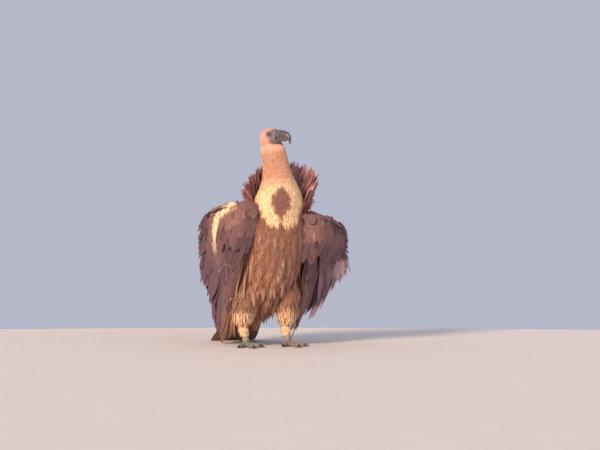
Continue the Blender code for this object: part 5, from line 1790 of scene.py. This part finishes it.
scutes = {"toeStep": 0.0062, "rowShare": 0.082, "round": 12, "size": 0.0072}
legDown = dict(spacing=0.0026, length=0.022, width=0.0034, lift=0.0042)
for side, sign in sides:
    title = side.title()
    ball = np.array((sign * ballAside, ballY, 0.0)) + shift
    s, phi = ringGrid(0, 1, 50, 32)
    parts, claws = [loft("shank", legRing(shankRows, sign, s, phi / math.tau, 0.0006))], []
    turn, phi = ringGrid(0.05, math.pi - 0.05, 24, 32)
    lump = np.stack((np.sin(turn) * np.cos(phi), np.sin(turn) * np.sin(phi), np.cos(turn)), -1) * ballRadius
    lump[..., 2] = np.maximum(lump[..., 2] * 0.75 + 0.0122, 0.0012)
    parts.append(loft("ball", lump + ball))
    plates = []  # place, normal, heading, size
    for name, (degrees, length, root, tip) in toes.items():
        heading = math.radians(degrees) * sign
        ahead = np.array((math.sin(heading), -math.cos(heading), 0.0))
        parts.append(loft("toe", toeRings(ball, ahead, length - 0.001, root, tip)))
        claws.append(loft("claw", clawRings(ball + ahead * (length + toeGap), ahead, tip, clawLength)))
        for at in np.arange(0.3 * length, length - 0.001, scutes["toeStep"]):  # broad plates along its top
            radius = root + (tip - root) * at / length
            top = ball + ahead * at + np.array((0, 0, radius * 1.86))
            plates.append((top - (0, 0, 0.0008), (0, 0, 1.0), ahead, 1.0 * radius))
    mesh = melted(f"leg{title}", parts, fineness["leg"], 3)
    points = pointsOf(mesh)
    points[:, 2] = np.maximum(points[:, 2], shift[2])
    movePoints(mesh, points)
    addPiece(mesh, scaleMaterial, "scales", f"shank_{side}", f"foot_{side}")

    # Plates round the shank, staggered, broader in front.
    for row, height in enumerate(np.arange(0.42, 0.99, scutes["rowShare"])):
        for place in (np.arange(scutes["round"]) + 0.5 * (row % 2)) / scutes["round"]:
            here, inner = (legRing(shankRows, sign, np.array(height), np.array(place), depth)
                           for depth in (0.0006, 0.003))
            size = scutes["size"] * (1 + 0.25 * math.cos(place * math.tau))
            plates.append((here, unit(here - inner), (0, 0, -1.0), size))
    plates = [np.array(column, float) for column in zip(*plates)]
    made = grown(f"scutes{title}", *plates, scuteMaterial, Width=1.12, Height=0.15, Seed=5)
    pieces.append((made, "scales", ()))
    mesh = joined(f"claws{title}", claws)
    mesh.shade_smooth()
    addPiece(mesh, clawMaterial, "horn", *(f"claw_{side}_{name}" for name in toes))

    # Pale down over the upper shank.
    surface = lambda s, c, sign=sign: legRing(shankRows, sign, s * 0.55, c, 0.0)
    s, c, roots = scatter(surface, legDown["spacing"])
    share, profile = np.array(shapes["fluff"])
    out = unit(roots - surface(s, c + 0.5))
    down = unit(np.array((0, 0, -1.0)) + 0.15 * rng.normal(size=roots.shape))
    length = legDown["length"] * (1 - 0.55 * s) * rng.uniform(0.8, 1.2, len(s))
    centre = roots[:, None] + down[:, None] * (share * length[:, None])[..., None]
    centre = centre + out[:, None] * (legDown["lift"] * np.sin(share * 2.4) - 0.0006)[None, :, None]
    plume = varied(tones["legDown"], 0.1, len(s))
    half = 0.5 * legDown["width"] * np.ones((len(s), 1)) * profile
    batch = blades(centre, out[:, None], share, half, 0.0005, "leaf", uvIn(s, c, whole), plume,
                   rng.random(len(s)))
    coatPiece(f"legDown{title}", [batch], downMaterial, "down")


# Floor, light and camera.
print("stage")
studio = {
    "floorRadius": 6.0, "floorBehind": 1.0, "floorColour": "#DAD3CD", "airColour": "#B1B4C5",
    "airStrength": 1.05, "viewFrom": (-20.0, 2.5), "viewDistance": 20.0, "lensPerMetre": 0.01578,
    "viewAside": 0.1216, "viewHeight": 0.4636,
    "lamps": {  # colour, strength, degrees round and up, softness in degrees
        "key": ("#FFE2C2", 4.0, (-52, 24), 14), "fill": ("#E4D4E0", 0.9, (20, 20), 60),
    },
}
turn = math.tau * np.arange(96) / 96
radius, viewTurn = studio["floorRadius"], math.radians(studio["viewFrom"][0])
ringOut = np.stack((radius * np.cos(turn), radius * np.sin(turn), 0 * turn), -1)
ringOut += np.array((math.sin(viewTurn), -math.cos(viewTurn), 0)) * (radius - studio["floorBehind"])
mesh = buildMesh("floor", np.concatenate((ringOut - (0, 0, 0.02), ringOut)), loftFaces(2, 96))
mesh.shade_flat()
floor = addObject("floor", mesh)
floorMaterial, tree, surface = newMaterial("pale floor", Specular_IOR_Level=0.2)
place = addNode(tree, "ShaderNodeTexCoord").outputs["Object"]
specks = addNode(tree, "ShaderNodeTexNoise", {"Vector": place, "Scale": 6.0, "Detail": 5.0}).outputs[0]
base = linear(studio["floorColour"])
send(tree, surface, Base_Color=mixColour(tree, specks, (*base * 0.96, 1), (*base * 1.03, 1)),
     Roughness=between(tree, specks, 0.3, 0.7, 0.75, 0.9))
mesh.materials.append(floorMaterial)

air = bpy.data.worlds.new("studio air")
air.use_nodes = True
fillIn(air.node_tree, air.node_tree.nodes["Background"],
       {"Color": (*linear(studio["airColour"]), 1), "Strength": studio["airStrength"]})
scene = bpy.context.scene
scene.world = air
scene.view_settings.view_transform = "Standard"


def towards(azimuth, elevation):
    a, e = math.radians(azimuth), math.radians(elevation)
    return Vector((math.sin(a) * math.cos(e), -math.cos(a) * math.cos(e), math.sin(e)))


for name, (colour, strength, source, softness) in studio["lamps"].items():
    light = bpy.data.lights.new(name, "SUN")
    light.energy, light.angle, light.color = strength, math.radians(softness), linear(colour)
    addObject(name, light).rotation_euler = towards(*source).to_track_quat("Z", "Y").to_euler()

azimuth, elevation = studio["viewFrom"]
back = towards(azimuth, elevation)
right = Vector((math.cos(math.radians(azimuth)), math.sin(math.radians(azimuth)), 0))
target = right * studio["viewAside"] + Vector((0, 0, studio["viewHeight"])) + Vector(shift)
eye = bpy.data.cameras.new("camera")
eye.sensor_width = 36
eye.lens = studio["lensPerMetre"] * studio["viewDistance"] * 1000
eye.clip_end = 100
camera = addObject("camera", eye)
camera.location = target + back * studio["viewDistance"]
camera.rotation_euler = back.to_track_quat("Z", "Y").to_euler()
scene.camera = camera

for made, slot, nodes in pieces:
    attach(made, "root")
    if nodes:
        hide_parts(*nodes)
